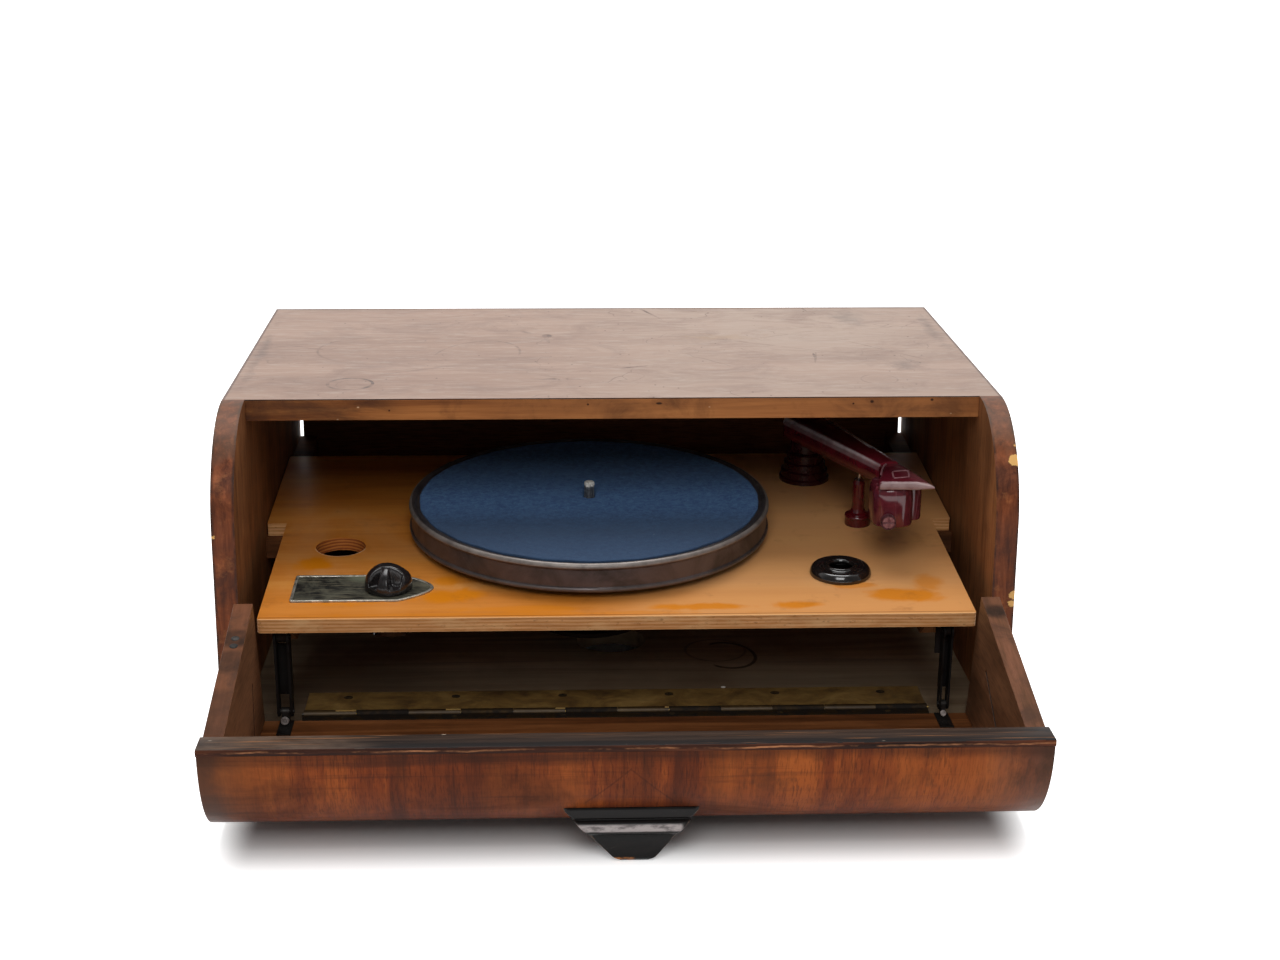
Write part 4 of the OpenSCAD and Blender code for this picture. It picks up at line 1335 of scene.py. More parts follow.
        mouth = g.oval(HOLE_SEEN, (17, 17)).below(1.03, 0.02) * rear_half
        g.coat("e8c49c", mouth * 0.5)
        scribe = g.y.band(-0.1105, -0.1099, 0.0004)
        g.coat("7c4414", scribe * 0.65)
        g.coat("e0b480", g.y.below(-0.1124, 0.0008) * 0.6)
        g.bump(fine, 0.1, 0.0003)
        g.bump(scribe, -0.3, 0.0003)
        return g.finish(0.3 + worn * 0.3, shine=0.18)

    def _ply_edge(self) -> Material:
        """Cut edge of the board: thin layers, pale and dark by turns.

        Returns:
            The material.
        """
        g = Paint("board_edge")
        high = g.split(g.coords(turn=(-3.8, 0, 0)))[Axis.Z.value]
        ripple = g.noise(90, 4, 0.6, stretch=(0.2, 1, 1)) * 0.0022
        layers_per_metre = 420.0
        layer = g.cycle((high + ripple) * layers_per_metre)
        stripes = layer.ramp((0.42, 0.0), (0.5, 1.0), (0.94, 1.0), (1.0, 0.0))
        grain = g.noise(300, 4, 0.6, stretch=(0.1, 1, 1))
        g.colour = g.mix(stripes * 0.5, "cc9058", "f8c48e")
        g.coat("965f32", grain.fade(0.4, 0.6, 0.0, 0.3))
        g.coat("4a2c18", high.below(0.0905, 0.001) * 0.55)
        wear = g.noise(70, 6, 0.7, stretch=(0.3, 1, 1)).fade(0.5, 0.7, 0.7)
        g.coat("e8c08c", wear)
        hole = g.oval(HOLE_SEEN, (20, 20)).fade(0.95, 1.0, 0.0, 1.0)
        dark = g.mix(layer.fade(0.3, 0.6), "7e3410", "b8661e")
        g.coat(dark, hole * 0.85)
        holes = g.noise(420, 4, 0.7, stretch=(0.5, 1, 1), shift=(6, 0, 0))
        g.coat("7a4a22", holes.fade(0.6, 0.7, 0.5))
        g.bump(wear + holes, 0.4, 0.0005)
        return g.finish(0.55, shine=0.15)

    def _handle(self) -> Material:
        """Black polished wood, rubbed on its arrises, bare and orange at the tip, with a painted
        highlight on its ridge.

        Returns:
            The material.
        """
        g = Paint("handle_black")
        rub = g.noise(90, 6, 0.7, 0.8, stretch=(0.2, 1, 1))
        g.colour = rub.ramp((0.4, "0e0d0d"), (0.6, "1a1716"), (0.74, "3a3532"))
        across = g.within(FLAP, Axis.X)
        high = g.within(FLAP, Axis.Z)
        root_half, spread, root_centre, lean = 0.02747, 0.884, 0.00289, 0.058
        half = root_half + high * spread
        centre = root_centre - high * lean
        edge = abs(across - centre) - half
        facing = g.within(FLAP, Axis.Y).above(0.1790, 0.0008)
        arris = edge.above(-0.0006, 0.0007) * facing
        ragged = g.noise(150, 5, 0.65).fade(0.42, 0.6)
        g.coat("a88a72", arris * (ragged * 0.7))
        tip = high.below(-0.0172, 0.0012)
        left = across.below(0.001, 0.004)
        g.coat("c07840", tip * left * (ragged * facing))
        # Painted highlight: a pale, flecked band along the ridge.
        ridge = high.band(0.0022, 0.0052, 0.0012) * abs(across).below(0.030, 0.003)
        flecks = g.noise(240, 4, 0.7, stretch=(0.4, 1, 1), shift=(3, 0, 0))
        g.coat("c8bebc", ridge * (flecks.fade(0.4, 0.55, 1.0, 0.4) * 0.75))
        g.bump(g.noise(260, 5, 0.65, stretch=(0.1, 1, 1)), 0.12, 0.0003)
        return g.finish(0.2 + rub * 0.12, shine=0.14)

    def _plate(self) -> Material:
        """Black lacquer on a thin metal plate, worn to pale metal in flecks.

        Returns:
            The material.
        """
        g = Paint("plate_black")
        wear = g.noise(60, 8, 0.74, 0.4)
        haze = wear.fade(0.42, 0.62, 0.75)
        g.colour = g.mix(haze, "121110", "5c5a4c")
        patch = g.oval((-168, -46), (14, 13), 0) + wear * 1.6
        g.coat("6c705c", (patch - 1.0).fade(0.2, 0.8, 0.0, 0.75))
        lines = g.noise(700, 4, 0.6, stretch=(0.06, 1, 1)).fade(0.54, 0.64, 0.6)
        g.coat("77705c", lines)
        rows_per_metre = 165.0
        g.bump(g.cycle(g.y * rows_per_metre).fade(0.4, 0.5), 0.15, 0.0002)
        g.bump(haze, 0.15, 0.0002)
        return g.finish(0.4, shine=0.4)

    def _bronze(self) -> Material:
        """Tarnished metal of the platter, with painted highlights along its two beads.

        Returns:
            The material.
        """
        g = Paint("platter_bronze")
        skin = g.noise(30, 7, 0.68, 0.6)
        g.colour = skin.ramp((0.4, "5e5656"), (0.62, "443e3d"))
        high = g.within(BOARD, Axis.Z)
        left, behind = 0.016, 0.152
        out = g.reach(g.within(BOARD, Axis.X) + left, g.within(BOARD, Axis.Y) - behind)
        # Painted highlights: the crest of the upper bead and, fainter, the lower bead are coated
        # pale and less metallic.
        crest = high.above(0.0226, 0.0008) * out.above(0.1243, 0.0006)
        lower = high.band(0.0058, 0.0076, 0.0008)
        ragged = g.noise(120, 5, 0.65).fade(0.3, 0.62, 0.95, 0.4)
        beads = g.most(crest, lower * 0.25) * ragged
        g.coat("8a827c", beads)
        g.bump(g.noise(420, 5, 0.7), 0.12, 0.0002)
        return g.finish(0.3 + skin * 0.25, Metallic=0.6 - beads * 0.25)

    def _spindle(self) -> Material:
        """Dark steel, with a painted highlight round its top, broken up by scratches.

        Returns:
            The material.
        """
        g = Paint("spindle_steel")
        skin = g.noise(500, 4, 0.7)
        # Painted highlight: the top few millimetres are coated pale and scratchy.
        top = (g.within(BOARD, Axis.Z) + skin * 0.003).above(0.0358, 0.0012)
        g.colour = skin.ramp((0.4, "26272a"), (0.6, "54565a"))
        g.coat(skin.ramp((0.4, "98948e"), (0.6, "e4e0d8")), top)
        g.bump(skin, 0.1, 0.0002)
        return g.finish(0.3, shine=0.8)

    def _felt(self) -> Material:
        """Blue felt: short tangled fibres, rubbed patches, pale specks of fluff and painted shade
        over its front.

        Returns:
            The material.
        """
        g = Paint("felt_blue")
        fibre = g.noise(1500, 3, 0.7, 1.0)
        tuft = g.noise(260, 5, 0.65, 0.8)
        rub = g.noise(14, 5, 0.6)
        g.colour = g.mix(tuft.fade(0.35, 0.65), "3c5a86", "5278a6")
        g.coat("263c5e", fibre.fade(0.35, 0.5, 0.0, 0.55))
        g.coat("587aa4", rub.fade(0.5, 0.75, 0.35))
        # Painted shade: the front of the mat is darkened towards grey-blue.
        g.coat("303d50", g.y.below(-0.035, 0.06) * 0.8)
        fluff = g.cells(95).fade(0.012, 0.03, 0.0, 1.0)
        some = g.noise(22, 2, shift=(3, 3, 0)).fade(0.58, 0.62, 0.8)
        g.coat("b8c4cc", fluff * some)
        g.bump(tuft, 0.35, 0.0006)
        g.bump(fibre, 0.5, 0.0004)
        return g.finish(0.95, shine=0.02, Sheen_Weight=0.05, Sheen_Roughness=0.6)


def dress(nodes: str, finish: Material) -> None:
    """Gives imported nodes, whose names are parted by spaces, their finish.

    Args:
        nodes: The nodes' names.
        finish: The material that they take.
    """
    for name in nodes.split():
        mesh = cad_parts[name].data
        mesh.materials.clear()
        mesh.materials.append(finish)
        LOG.info("%s wears %s", name, finish.name)


# Sub-assemblies


@dataclass
class Cabinet:
    """The fixed case: two sides, top, base and back."""

    wear: Finishes
    half_width: float = 260.0
    half_inside: float = 245.0
    depth: float = 366.0
    height: float = 218.0
    front_radius: float = 70.0
    top_thick: float = 14.5
    veneer_thick: float = 0.7
    foot: float = 6.5

    def side_plan(self) -> Array:
        """The outline of a side panel: a rectangle whose top front corner is a quarter circle.

        Returns:
            Points of depth and height.
        """
        r = self.front_radius
        arc = polar(r, np.linspace(np.pi, np.pi / 2, 40), 0.0, r, self.height - r)[:, :2]
        foot = [[self.depth, self.foot], [0, self.foot]]
        return np.vstack([foot, arc, [[self.depth, self.height]]])

    def build(self) -> None:
        """Makes the panels and dresses the plain nodes."""
        finishes = (self.wear.side, self.wear.side_band, self.wear.inside_upright)
        for name, x0, x1, marks in (
            ("side_left", -self.half_width, -self.half_inside, (1, 2, 0)),
            ("side_right", self.half_inside, self.half_width, (1, 0, 2)),
        ):
            form = Form(CABINET)
            form.prism(self.side_plan(), x0, x1, Axis.X, marks=marks)
            form.piece(name + "_panel", "cabinet", finishes, name, "side_veneer", bevel=0.9)
        start, under = self.front_radius + 0.6, self.height - self.veneer_thick
        board = rectangle(-self.half_inside, self.half_inside, start, self.depth - 5)
        skin = rectangle(-self.half_width, self.half_width, start - 0.2, self.depth)
        form = Form(CABINET)
        form.prism(board, self.height - self.top_thick, under, marks=(1, 0, 2))
        form.prism(skin, under, self.height + 0.05, marks=(3, 0, 0))
        finishes = (self.wear.top, self.wear.raw_edge, self.wear.inside, self.wear.seam)
        form.piece("top_board", "cabinet", finishes, "top_panel", "top_veneer", bevel=0.25)
        dress("base_board", self.wear.base)
        dress("back_panel runner_left runner_right", self.wear.inside)
        dress("glue_block_left glue_block_right", self.wear.inside_upright)
        dress("foot_front_left foot_front_right foot_rear_left foot_rear_right", self.wear.rubber)
        dress("cable_grommet", self.wear.rubber)
        dress("back_screws", self.wear.bright)
        dress("hinge_leaf_rear", self.wear.brass)
        dress("hinge_screws_rear", self.wear.leaf_screw)
        dress("hinge_pin", self.wear.knuckles)


@dataclass
class Flap:
    """The drop front: floor, curved front, lipping, cheeks and handle."""

    wear: Finishes
    length: float = 198.5
    half_width: float = 243.2
    radius: float = 70.0
    thick: float = 14.5
    lip_half: float = 243.6
    lip_start: float = 179.1
    lip_low: float = 58.0
    lip_high: float = 62.0
    cheek_start: float = 38.0
    cheek_high: float = 91.5
    handle_top: float = 15.3
    handle_tip: float = -19.2

    def build(self) -> None:
        """Makes the pieces of the flap and dresses the plain nodes."""
        self.build_lipping()
        self.build_handle()
        self.build_cheek(-1, "cheek_left", ((55.0, 44.0), (57.0, 9.0)))
        self.build_screws()
        self.build_cheek(1, "cheek_right", ((63.0, 50.5), (126.0, 11.0)))
        for name, x, size in (("lug_left_rivet", -217.0, 1.0), ("lug_right_rivet", 214.5, 0.72)):
            form = Form(FLAP.inner((x, 18.6, 3.7), turned(Axis.X, -math.pi / 2)))
            head = [[0, 0], [2.75, 0], [2.75, 1.3], [2.3, 1.9], [1.6, 1.9], [1.3, 1.2], [0.9, 1.3]]
            form.lathe(np.array([*head, [0, 1.7]]) * [size, 1], 0, 0, 32)
            form.piece(name, "flap", (self.wear.rivet,), "", "steel_bright", crease=50)
        dress("flap_floor", self.wear.tray)
        dress("flap_curve", self.wear.front)
        dress("hinge_leaf_front", self.wear.leaf_dark)
        dress("hinge_screws_front", self.wear.leaf_screw)
        dress("lug_left lug_right", self.wear.steel)

    def build_cheek(self, side: int, name: str, groove: tuple) -> None:
        """A cheek: its outline carried across its thickness, with a groove cut in its inner face.

        The front of the outline follows the inner circle of the curved front. The inner face is
        laid in two parts: a fan round a point in front of the groove, and five triangles behind it.

        Args:
            side: -1 for the left cheek, 1 for the right one.
            name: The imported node's name.
            groove: The two ends of the groove.
        """
        inner_r, middle, low = self.radius - self.thick, self.length - self.radius, -0.5
        angle = np.linspace(math.asin((self.lip_high - self.lip_low) / inner_r), np.pi / 2, 24)
        arc = polar(inner_r, -angle, 0.0, middle, self.lip_high)[:, :2]
        rear = [[9.5, low], [self.cheek_start, self.cheek_high], [self.lip_start, self.lip_low]]
        plan = np.vstack([rear, arc, [[middle, low]]])
        start, end = np.array(groove)
        along = (end - start) / np.linalg.norm(end - start)
        across = 1.3 * np.array([-along[1], along[0]])
        rim = np.array([start - across, end - across, end + across, start + across])
        outer, inner = side * self.half_width, side * (self.half_width - 12)
        deep = inner + side * 1.2
        form = Form(FLAP)
        form.grid(np.stack([lift(plan, inner, Axis.X), lift(plan, outer, Axis.X)]), 1, wrap=True)
        form.flat(lift(plan, outer, Axis.X))
        front = np.vstack([[[135.0, 40.0]], plan[1:], rim[2:]])
        i = np.arange(1, len(front))
        fan = np.stack([0 * i, i, i % (len(front) - 1) + 1], -1)
        form.corners(lift(front, inner, Axis.X), fan)
        behind = np.vstack([plan[:2], rim[3:], rim[:3], plan[-1:]])
        triangles = [[1, 2, 3], [0, 1, 3], [0, 3, 4], [4, 5, 6], [0, 4, 6]]
        form.corners(lift(behind, inner, Axis.X), triangles)
        form.grid(np.stack([lift(rim, inner, Axis.X), lift(rim, deep, Axis.X)]), 2, wrap=True)
        form.flat(lift(rim, deep, Axis.X), mark=2)
        finishes = (self.wear.cheek, self.wear.cheek_edge, self.wear.seam)
        form.piece(name + "_board", "flap", finishes, name, "inside_wood", bevel=0.5)

    def build_screws(self) -> None:
        """Two worn screw heads in the left cheek's sloping edge: low turned caps."""
        run = self.lip_start - self.cheek_start
        fall = math.atan2(self.lip_low - self.cheek_high, run)
        line = np.array([[0, -6], [2.6, -6], [2.6, 0.1], [2.3, 0.3], [1.2, 0.45], [0, 0.45]])
        cap = polar(line[:, :1], around(24), line[:, 1:]) @ turned(Axis.X, fall)
        form = Form(FLAP)
        for along in (76, 84):
            high = self.cheek_high + (along - self.cheek_start) * math.tan(fall)
            form.grid(cap + [6 - self.half_width, along, high], wrap=True)
        finishes = (self.wear.steel,)
        form.piece("cheek_screw_heads", "flap", finishes, "cheek_screws", "steel_dark", crease=50)

    def build_lipping(self) -> None:
        """The strip on top of the curved front: black above, rubbed red-brown at its front edge.

        The front edge is drawn back by the sum of three sine waves of the place along it.
        """
        form = Form(FLAP)
        x = np.linspace(-self.lip_half, self.lip_half, 160)[:, None]
        drawn_back = 0.25 * np.sin(x * 0.11) + 0.18 * np.sin(x * 0.37 + 1) + 0.1 * np.sin(x * 1.3)
        start, low, high, end = self.lip_start, self.lip_low, self.lip_high, self.length + 0.3
        front = [[end - 0.2, low], [end, high - 0.6], [end - 0.8, high]]
        out, up = fillet([[start, low], *front, [start, high]], 0.5, 3).T[:, None]
        drawn = out - np.clip(drawn_back, 0, 1) * (out > end - 2) * 0.5
        form.sweep(np.stack(np.broadcast_arrays(x, drawn, up), -1))
        points = np.vstack(form.points)
        middle = np.stack([points[face].mean(0) for face in form.faces])
        form.marks = (middle[:, 1] > end - 0.75).astype(int).tolist()
        finishes = (self.wear.lip, self.wear.lip_edge)
        form.piece("lipping", "flap", finishes, "flap_lipping", "black_trim", crease=50)

    def build_handle(self) -> None:
        """The pull: a closed profile carried across a width that narrows towards the tip."""
        top, tip, mount = self.handle_top, self.handle_tip, self.radius - 0.4
        face = [[181.3, top], [181.7, 13.6], [181.7, 9.4], [181.1, 7.9], [182.6, 7.3], [184.2, 5.7]]
        face += [[184.9, 3.2], [184.4, 0.8], [183.0, -0.9], [181.3, -1.8], [180.9, -3.4]]
        face += [[181.2, -6.0], [181.2, -12.0], [180.6, -17.0], [178.8, tip]]
        angle = np.linspace(math.asin(63 / 70), math.asin(46.7 / 70), 14)
        back = polar(mount, -angle, 0.0, self.length - self.radius, self.lip_high)[:, :2]
        under = [[160.5, tip], [159, -17.5], [159, -2]]
        out, up = np.vstack([smooth_line(face, 5), under, back]).T[:, None]
        share = (top - up) / (top - tip)
        tip_cut = 2.2 * np.clip(share - 0.93, 0, 1) / 0.07
        half = 41 - 30.5 * share - tip_cut - 1.2 * np.clip(0.06 - share, 0, 1) / 0.06
        across = np.linspace(-1, 1, 60)[:, None]
        edge = 1 - np.sqrt(np.clip(1 - ((np.abs(across) - 0.93) / 0.07).clip(0, 1) ** 2, 0, 1))
        rows = (2.0 + 2 * share + across * half, out - edge * ((out > 179) * 1.6), up)
        form = Form(FLAP)
        form.sweep(np.stack(np.broadcast_arrays(*rows), -1))
        form.piece("handle", "flap", (self.wear.handle,), "flap_handle", "black_trim", crease=50)


@dataclass
class MotorBoard:
    """The board with its plate, knob, needle cup and the fittings under it."""

    wear: Finishes
    half_front: float = 230.2
    half_rear: float = 244.0
    length: float = 311.0
    notch: float = 168.0
    thick: float = 9.2
    hole_radius: float = 17.0
    cup: tuple[float, float] = (151.0, 68.0)
    switch_x: float = -150.0
    switch_d: float = 48.5

    def plan(self) -> Array:
        """The outline: a rectangle with rounded front corners, and wider tongues at the rear.

        Returns:
            Points across and along the board.
        """
        f, r, n, l = self.half_front, self.half_rear, self.notch, self.length
        corners = [[-f, 0], [f, 0], [f, n], [r, n], [r, l], [-r, l], [-r, n], [-f, n]]
        return fillet(corners, [3, 3, 0.4, 1.2, 1.5, 1.5, 1.2, 0.4], 7)

    def build(self) -> None:
        """Makes the board and its fittings, and dresses the plain nodes."""
        form = Form(BOARD)
        holes = (circle(-188, 123, self.hole_radius), circle(*self.cup, self.hole_radius))
        form.prism(self.plan(), -self.thick, 0, holes=holes, marks=(1, 0, 0))
        finishes = (self.wear.ply, self.wear.ply_edge)
        form.piece("board_panel", "board", finishes, "motor_board", "pale_wood", bevel=0.8)
        self.build_plate()
        self.build_knob()
        self.build_cup()
        dress("bracket_left bracket_right motor_frame motor_bearing", self.wear.steel)
        dress("lever_left lever_right", self.wear.lever)
        dress("motor_stator", self.wear.winding)
        dress("motor_bolts", self.wear.bright)
        dress("switch_body", self.wear.black)

    def build_plate(self) -> None:
        """The bare plate under the knob, with a raised border and ogive end.

        It is a stack of its outline, each drawn in towards the middle by its inset over the plate's
        half length and half width.
        """
        share = np.linspace(-1, 1, 33)
        nose = np.stack([-142.5 + 22.0 * (1 - np.abs(share) ** 1.75), 48.5 + 21.5 * share], -1)
        outer = np.vstack([nose, [[-211.7, 70.0], [-212.7, 69.0], [-212.7, 28.0], [-211.7, 27.0]]])
        centre, size = np.array([-170.0, self.switch_d]), np.array([42.7, 21.5])
        levels = ((0.0, 0.0), (0.0, 1.0), (0.35, 1.3), (1.4, 1.3), (1.9, 0.9), (2.0, 0.85))
        rows = np.stack(
            [lift(centre + (outer - centre) * (1 - inset / size), h, Axis.Z) for inset, h in levels]
        )
        form = Form(BOARD)
        form.grid(rows[:5], wrap=True)
        form.grid(rows[4:], 1, wrap=True)
        form.flat(rows[-1], mark=1)
        finishes = (self.wear.plate_rim, self.wear.plate)
        form.piece("knob_plate", "board", finishes, "switch_plate", "black_trim", closed=False)

    def build_knob(self) -> None:
        """The switch knob: a dome with two finger recesses, a rib between them, front and back.

        The height over the round plan is that of a ball's cap; each recess brings it down to a low
        floor, with steep walls given by smooth steps.
        """
        radius, foot, turn = 15.6, 1.5, math.radians(-12)
        out = np.concatenate([np.linspace(0, 0.94, 66), [0.96, 0.975, 0.99, 1.0]])[:, None]
        x, y = radius * out * np.cos(around(200)), radius * out * np.sin(around(200))
        u = x * math.cos(turn) + y * math.sin(turn)
        v = -x * math.sin(turn) + y * math.cos(turn)
        dome = 2.6 + 13.6 * np.sqrt(np.clip(1 - out**2, 0, 1)) + 0 * u

        def step(value: Array) -> Array:
            """Rises smoothly from 0 to 1 about zero."""
            return 1 / (1 + np.exp(-3.0 * value))

        beside = step(np.abs(u) - 2.2 - 0.1 * np.abs(v)) * step(10.6 - np.abs(u))
        recess = step(np.abs(v) - 4.6 - 0.05 * u**2 * (u < 0)) * beside
        height = dome * (1 - recess) + np.minimum(dome, 3.4) * recess
        rib = step(2.4 - np.abs(u)) * step(np.abs(v) - 4.6)
        height = height * (1 - rib) + np.minimum(dome, height - 0.9) * rib
        top = np.stack([self.switch_x + x, self.switch_d + y, foot + height], -1)
        skirt = np.stack([top[-1] * [1, 1, 0] + [0, 0, z] for z in (foot + 1.6, foot)])
        form = Form(BOARD)
        form.grid(np.concatenate([top, skirt]), wrap=True)
        form.flat(skirt[-1])
        finishes = (self.wear.knob,)
        form.piece("knob_body", "knob", finishes, "switch_knob", "bakelite_black", crease=70)

    def build_cup(self) -> None:
        """The needle cup: a turned profile with a broad rolled rim and a ring round its mouth."""
        line = [[16.9, 0.0], [20.2, 0.05], [20.6, 1.0], [20.4, 2.6], [19.4, 4.6], [18.0, 5.8]]
        line += [[16.0, 6.2], [13.4, 5.9], [11.6, 5.5], [10.6, 5.9], [9.8, 6.7], [8.9, 6.9]]
        line += [[8.0, 6.4], [7.5, 5.2], [8.4, 3.8], [12.0, 2.8], [14.4, -1.0], [14.4, -10.0]]
        line += [[12.0, -13.8], [0.0, -14.0]]
        outer = [[0.0, -15.8], [16.0, -15.8], [16.8, -15.0], [16.8, 0.0]]
        form = Form(BOARD)
        form.lathe(np.vstack([outer, smooth_line(line, 5)[1:]]), *self.cup, 72)
        form.piece("cup", "board", (self.wear.black,), "needle_cup", "bakelite_black", crease=60)


@dataclass
class Turntable:
    """Platter, felt mat and spindle."""

    wear: Finishes
    x: float = -16.0
    d: float = 152.0
    felt_radius: float = 120.4
    felt_hole: float = 4.3
    felt_low: float = 23.4
    felt_high: float = 25.2

    def build(self) -> None:
        """Makes the felt and the spindle, and dresses the platter."""
        dress("platter", self.wear.bronze)
        self.build_spindle()
        self.build_felt()

    def build_spindle(self) -> None:
        """The spindle: a short bar whose radius dips in flutes, by a clipped cosine of angle."""
        angle = around(160)
        top = [[3.6, 34.9], [3.45, 35.6], [3.0, 36.1], [2.2, 36.4], [0, 36.5]]
        radius, height = np.array([[0, 9.0], [3.6, 9.0], *top]).T[:, :, None]
        flute = 1 - 0.13 * np.clip(np.cos(10 * angle) * 2, 0, 1) * (height > 20) * (height < 36)
        form = Form(BOARD)
        form.grid(polar(radius * flute, angle, height, self.x, self.d), wrap=True)
        finishes = (self.wear.spindle,)
        form.piece("spindle_bar", "turntable", finishes, "spindle", "steel_bright", crease=40)

    def build_felt(self) -> None:
        """The mat: a thin disc whose nap rises and falls by low waves of radius and angle."""
        angle, face = around(180), self.felt_high - 0.15
        out = np.linspace(self.felt_hole, self.felt_radius - 2.1, 60)[:, None]
        nap = 0.07 * np.sin(out * 0.9 + 3 * np.sin(2 * angle))
        nap = nap + 0.06 * np.sin(out * 0.31 + 5 * angle)
        edge = self.felt_radius - 1.6 + 0.25 * np.sin(angle * 23) + 0.15 * np.sin(angle * 57 + 1)
        low, hole = self.felt_low, self.felt_hole
        rims = ((edge - 0.1, self.felt_high - 0.6), (edge - 0.3, low), (hole, low), (hole, face))
        rows = [polar(r, angle, height, self.x, self.d) for r, height in ((out, face + nap), *rims)]
        form = Form(BOARD)
        form.grid(np.concatenate(rows), wrap=True)
        mat = form.piece("felt", "turntable", (self.wear.felt,), "felt_mat", "felt_blue", crease=60)


@dataclass
class PickUp:
    """Arm, head, foot and rest."""

    wear: Finishes
    rear_radius: float = 17.0
    tip_half: float = 7.5
    length: float = 145.0
    top: float = 7.0
    low: float = -6.5
    wall: float = 2.2
    corner_power: float = 0.3
    arch: float = 1.6
    arch_radius: float = 91.0
    cap_low: float = 54.8
    cap_slope: float = 4.7

    def build(self) -> None:
        """Makes the arm and the head, and dresses the foot and rest."""
        dress("arm_rest_post", self.wear.maroon)
        dress("arm_base arm_swivel", self.wear.foot)
        dress("needle_screw", self.wear.disc)
        dress("arm_rest_pin arm_pin", self.wear.bright)
        self.build_arm()
        self.build_cap()
        self.build_body()
        self.build_neck()
        self.build_marks()

    def boxed(self, angle: Array) -> tuple[Array, Array]:
        """Cosine and sine of an angle, raised to a small power, so that a circle turns boxy."""
        sides = np.cos(angle), np.sin(angle)
        return tuple(np.sign(side) * np.abs(side) ** self.corner_power for side in sides)

    def build_arm(self) -> None:
        """The arm: sections that run from one lower edge over the top to the other.

        A section is a rounded box, half as wide as the plan is there, and its top is slightly
        arched. The plan is a half circle at the rear and tapers from there in a straight line.
        """
        r = self.rear_radius
        back = r * np.sin(np.linspace(-np.pi / 2, 0, 14)[:-1])
        along = np.concatenate([back, np.linspace(0, self.length, 60)])[:, None]
        taper = r + (self.tip_half - r) * np.clip(along, 0, None) / self.length
        half = np.where(along < 0, np.sqrt(np.clip(r**2 - along**2, 0.01, None)), taper)
        side, rise = self.boxed(np.linspace(0, np.pi, 49)[None, :])
        crown = self.arch - (half * side) ** 2 / (2 * self.arch_radius)
        high = self.low + (self.top + crown - self.low) * rise
        rows = np.stack(np.broadcast_arrays(along, half * side, high), -1)
        form = Form(ARM)
        form.grid(rows)
        form.flat(rows[-1])
        names = "arm_shell", "arm", (self.wear.arm,), "tonearm", "bakelite_maroon"
        arm = form.piece(*names, crease=50, closed=False)
        wall = arm.modifiers.new("wall", "SOLIDIFY")
        wall.thickness = self.wall * MM
        wall.offset = -1.0

    def cap_level(self, plan: Array, over: float) -> Array:
        """Height of the cap's sloping plane over plan points, in the head's frame.

        The plane rises by the tangent of the slope for each millimetre to the front.
        """
        return self.cap_low + over - plan[..., 1] * math.tan(math.radians(self.cap_slope))

    def build_cap(self) -> None:
        """The head's sloping cap with a thin right tip.

        It is a stack of its rounded plan, drawn in a little near the top and bottom; right of the
        fold its top falls and its underside rises.
        """
        plan = [[-2.5, -3.3], [-9.3, -28.9], [-12.7, -40.2], [-13.4, -46.8]]
        plan += [[11.9, -47.5], [23.2, -52.1], [14, -19.3], [6.3, 8.4]]
        plan = fillet(plan, [4, 6, 6, 3.5, 10, 1.0, 8, 2.5], 7)
        layers = ((0.0, 0.0), (1.0, 0.0), (1.012, 0.5), (1.015, 2.4), (1.0, 4.2))
        layers += ((0.96, 5.15), (0.9, 5.45), (0.6, 5.7), (0.0, 5.8))
        centre = plan.mean(0)
        rows = []
        for draw, over in layers:
            rim = centre + (plan - centre) * draw
            tip = np.clip(rim[:, 0] - 12, 0, None) * 0.176
            level = self.cap_level(rim, over) + tip * (1 - 2 * over / 5.4)
            rows.append(np.column_stack([rim, level]))
        form = Form(HEAD)
        form.grid(np.stack(rows), wrap=True)
        form.piece("cap", "arm", (self.wear.cap,), "head_cap", "bakelite_maroon", crease=70)

    def build_body(self) -> None:
        """The head's body: two rounded forms with soft feet, their shoulders under the cap."""
        form = Form(HEAD)
        foot = ((0.0, 31), (0.9, 31), (0.975, 31.3), (1.0, 32.6))
        shoulder = ((1.0, -9.0), (0.985, -5.5), (0.95, -2.4), (0.9, -0.7), (0.86, -0.02))
        for box, radius in (((-15.4, 12, -47, -10), 12.5), ((-2, 19.5, -34, -6), 9)):
            corners = rectangle(*box)
            plan, centre = fillet(corners, radius, 12), corners.mean(0)
            rows = [lift(centre + (plan - centre) * draw, level, Axis.Z) for draw, level in foot]
            for draw, under in (*shoulder, (0.0, -0.02)):
                rim = centre + (plan - centre) * draw
                rows.append(np.column_stack([rim, self.cap_level(rim, under)]))
            form.grid(np.stack(rows), wrap=True)
        finishes = (self.wear.head,)
        form.piece("head_shell", "arm", finishes, "head_body", "bakelite_maroon", crease=60)

    def build_neck(self) -> None:
        """The short boxy neck between the arm's tip and the cap."""
        x = np.array([self.length - 0.5, self.length + 12])[:, None]
        side, rise = self.boxed(around(40))
        rows = np.broadcast_arrays(x, self.tip_half * side, 0.2 + 6.7 * rise)
        form = Form(ARM)
        form.sweep(np.stack(rows, -1))
        form.piece("head_neck", "arm", (self.wear.maroon,), "", "bakelite_maroon", crease=50)

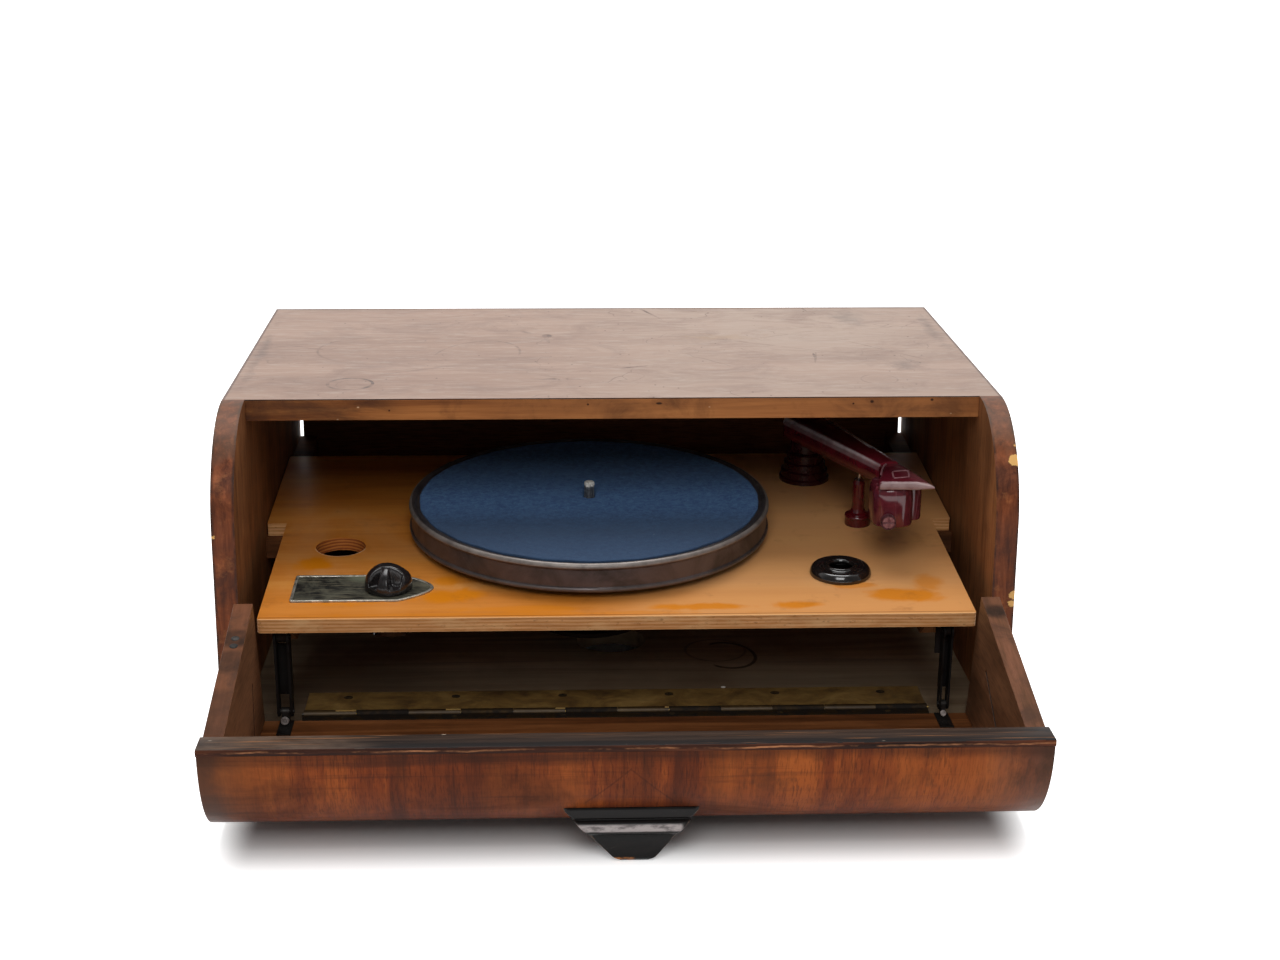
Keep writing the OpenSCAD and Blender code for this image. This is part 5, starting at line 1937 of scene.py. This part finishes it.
    def build_marks(self) -> None:
        """The raised lines on the cap: a fork over the joint and an empty frame."""
        outline = fillet(rectangle(-5.6, 5.6, -8.5, 8.5), 2.2, 6)
        outline = np.vstack([outline, outline[:2]])
        form = Form(HEAD)
        for line in (
            outline @ np.array([[1, 0.3], [0.107, 1]]) + [4.25, -28.6],
            smooth_line([[-9.0, -27.5], [-6.6, -17], [-4.4, -8.5], [-2.6, -3.6]], 8),
            smooth_line([[-2.6, -3.6], [0.5, 1.5], [3.6, 5.6], [6.2, 8.2]], 8),
        ):
            form.tube(np.column_stack([line, self.cap_level(line, 5.55)]), 0.62, 10)
        form.piece("cap_lines", "arm", (self.wear.rubbed,), "", "bakelite_maroon", crease=60)


# Studio


@dataclass
class Studio:
    """Floor, lamps, world and camera."""

    focal_pixels: float = 2076.7
    photo_width: float = 1280.0
    sensor: float = 36.0
    turn: float = -2.668
    tilt: float = -16.378
    roll: float = -0.364
    eye: Triple = (-45.5, -1272.1, 555.8)

    def build(self) -> None:
        """Sets the stage, the lights and the camera."""
        self.build_camera()
        self.build_world()
        self.build_floor()
        self.lamp("front soft box", (-0.1, -1.9, 1.65), (0, 0.0, 0.1), 1.1, 20.0)
        self.lamp("overhead soft box", (0.0, 0.55, 2.3), (0, -0.05, 0.1), 1.5, 34.0)
        bpy.context.scene.view_settings.view_transform = "Standard"

    @staticmethod
    def add(name: str, data: object) -> Object:
        """Puts an object into the scene.

        Args:
            name: The object's name.
            data: Its mesh, lamp or camera.

        Returns:
            The object.
        """
        made = bpy.data.objects.new(name, data)
        bpy.context.scene.collection.objects.link(made)
        return made

    def build_camera(self) -> None:
        """Places the camera by the fitted turn, tilt and roll.

        The camera's right, forward and up directions are the columns of the turn about Z times
        the tilt about X times the roll about Y.
        """
        turn = Matrix.Rotation(math.radians(self.turn), 3, "Z")
        tilt = Matrix.Rotation(math.radians(self.tilt), 3, "X")
        roll = Matrix.Rotation(math.radians(self.roll), 3, "Y")
        right, forward, up = (turn @ tilt @ roll).transposed()
        lens = bpy.data.cameras.new("photo camera")
        lens.sensor_width = self.sensor
        lens.lens = self.focal_pixels / self.photo_width * self.sensor
        lens.clip_end = 50
        camera = self.add("photo camera", lens)
        pose = Matrix((right, up, -forward)).transposed().to_4x4()
        pose.translation = Vector(self.eye) * MM - Vector((0, MIDDLE_Y * MM, 0))
        camera.matrix_world = pose
        bpy.context.scene.camera = camera

    def build_world(self) -> None:
        """A white surround to the eye; as light it is weaker.

        Reflections show it white behind the object and fading to a grey room in front.
        """
        world = bpy.data.worlds.new("studio")
        bpy.context.scene.world = world
        world.use_nodes = True
        g = Graph(world.node_tree)
        room = g.y.span(-0.5, 0.6, 0.16, 1.0)
        seen: object = 0.34
        for ray, level in (("Glossy", room), ("Transmission", 1.0), ("Camera", 1.0)):
            seen = g.node("Mix", {"Factor": g.ray(ray), "A": seen, "B": level}, "Result")
        back = world.node_tree.nodes["Background"]
        g.put(back.inputs["Strength"], seen)
        g.put(back.inputs["Color"], (1, 1, 1, 1))

    def build_floor(self) -> None:
        """A wide white floor: it keeps the shadow, and far out a painted glow makes it as white as
        the surround.

        The glow is painted light: its strength follows the distance to the object's footprint,
        which is the square root of the two squared distances from its sides, so it also paints how
        fast the shadow fades out. This glow shows to the camera, in reflections and through clear
        matter only.
        """
        corners = lift(rectangle(-8, 8, -5, 12), 0.0, Axis.Z)
        mesh = bpy.data.meshes.new("floor")
        mesh.from_pydata(corners.tolist(), [], [[0, 1, 2, 3]])
        g = Paint("floor_white")
        g.colour = (0.94, 0.94, 0.94, 1.0)
        side = g.most((abs(g.x) - 0.220) * 1.7, 0.0) ** 2.0
        front = g.most(abs(g.y) - 0.231, 0.0) ** 2.0
        # Painted light: the glow rises over 60 mm from the footprint, which shapes how the shadow
        # fades out.
        away = ((side + front) ** 0.5).span(0.0, 0.060)
        seen = g.most(g.ray("Camera"), g.ray("Glossy"), g.ray("Transmission"))
        white = {"Emission_Color": (1.0, 1.0, 1.0, 1.0), "Emission_Strength": seen * away}
        mesh.materials.append(g.finish(0.9, shine=0.1, **white))
        self.add("floor", mesh)

    def lamp(self, name: str, where: Triple, target: Triple, size: float, power: float) -> None:
        """Adds a square soft lamp that looks at a target.

        Args:
            name: The lamp's name.
            where: Its place, in metres.
            target: What it faces.
            size: Its side, in metres.
            power: Its power, in watts.
        """
        light = bpy.data.lights.new(name, "AREA")
        light.size = size
        light.energy = power
        lamp = self.add(name, light)
        lamp.location = where
        lamp.rotation_euler = (Vector(target) - Vector(where)).to_track_quat("-Z", "Y").to_euler()


def main() -> None:
    """Builds the object and the studio."""
    logging.basicConfig(level=logging.INFO, format="%(message)s")
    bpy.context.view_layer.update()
    finishes = Finishes()
    Studio().build()
    for kind in (Cabinet, Flap, MotorBoard, Turntable, PickUp):
        kind(finishes).build()
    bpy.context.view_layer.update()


if __name__ == "__main__":
    main()
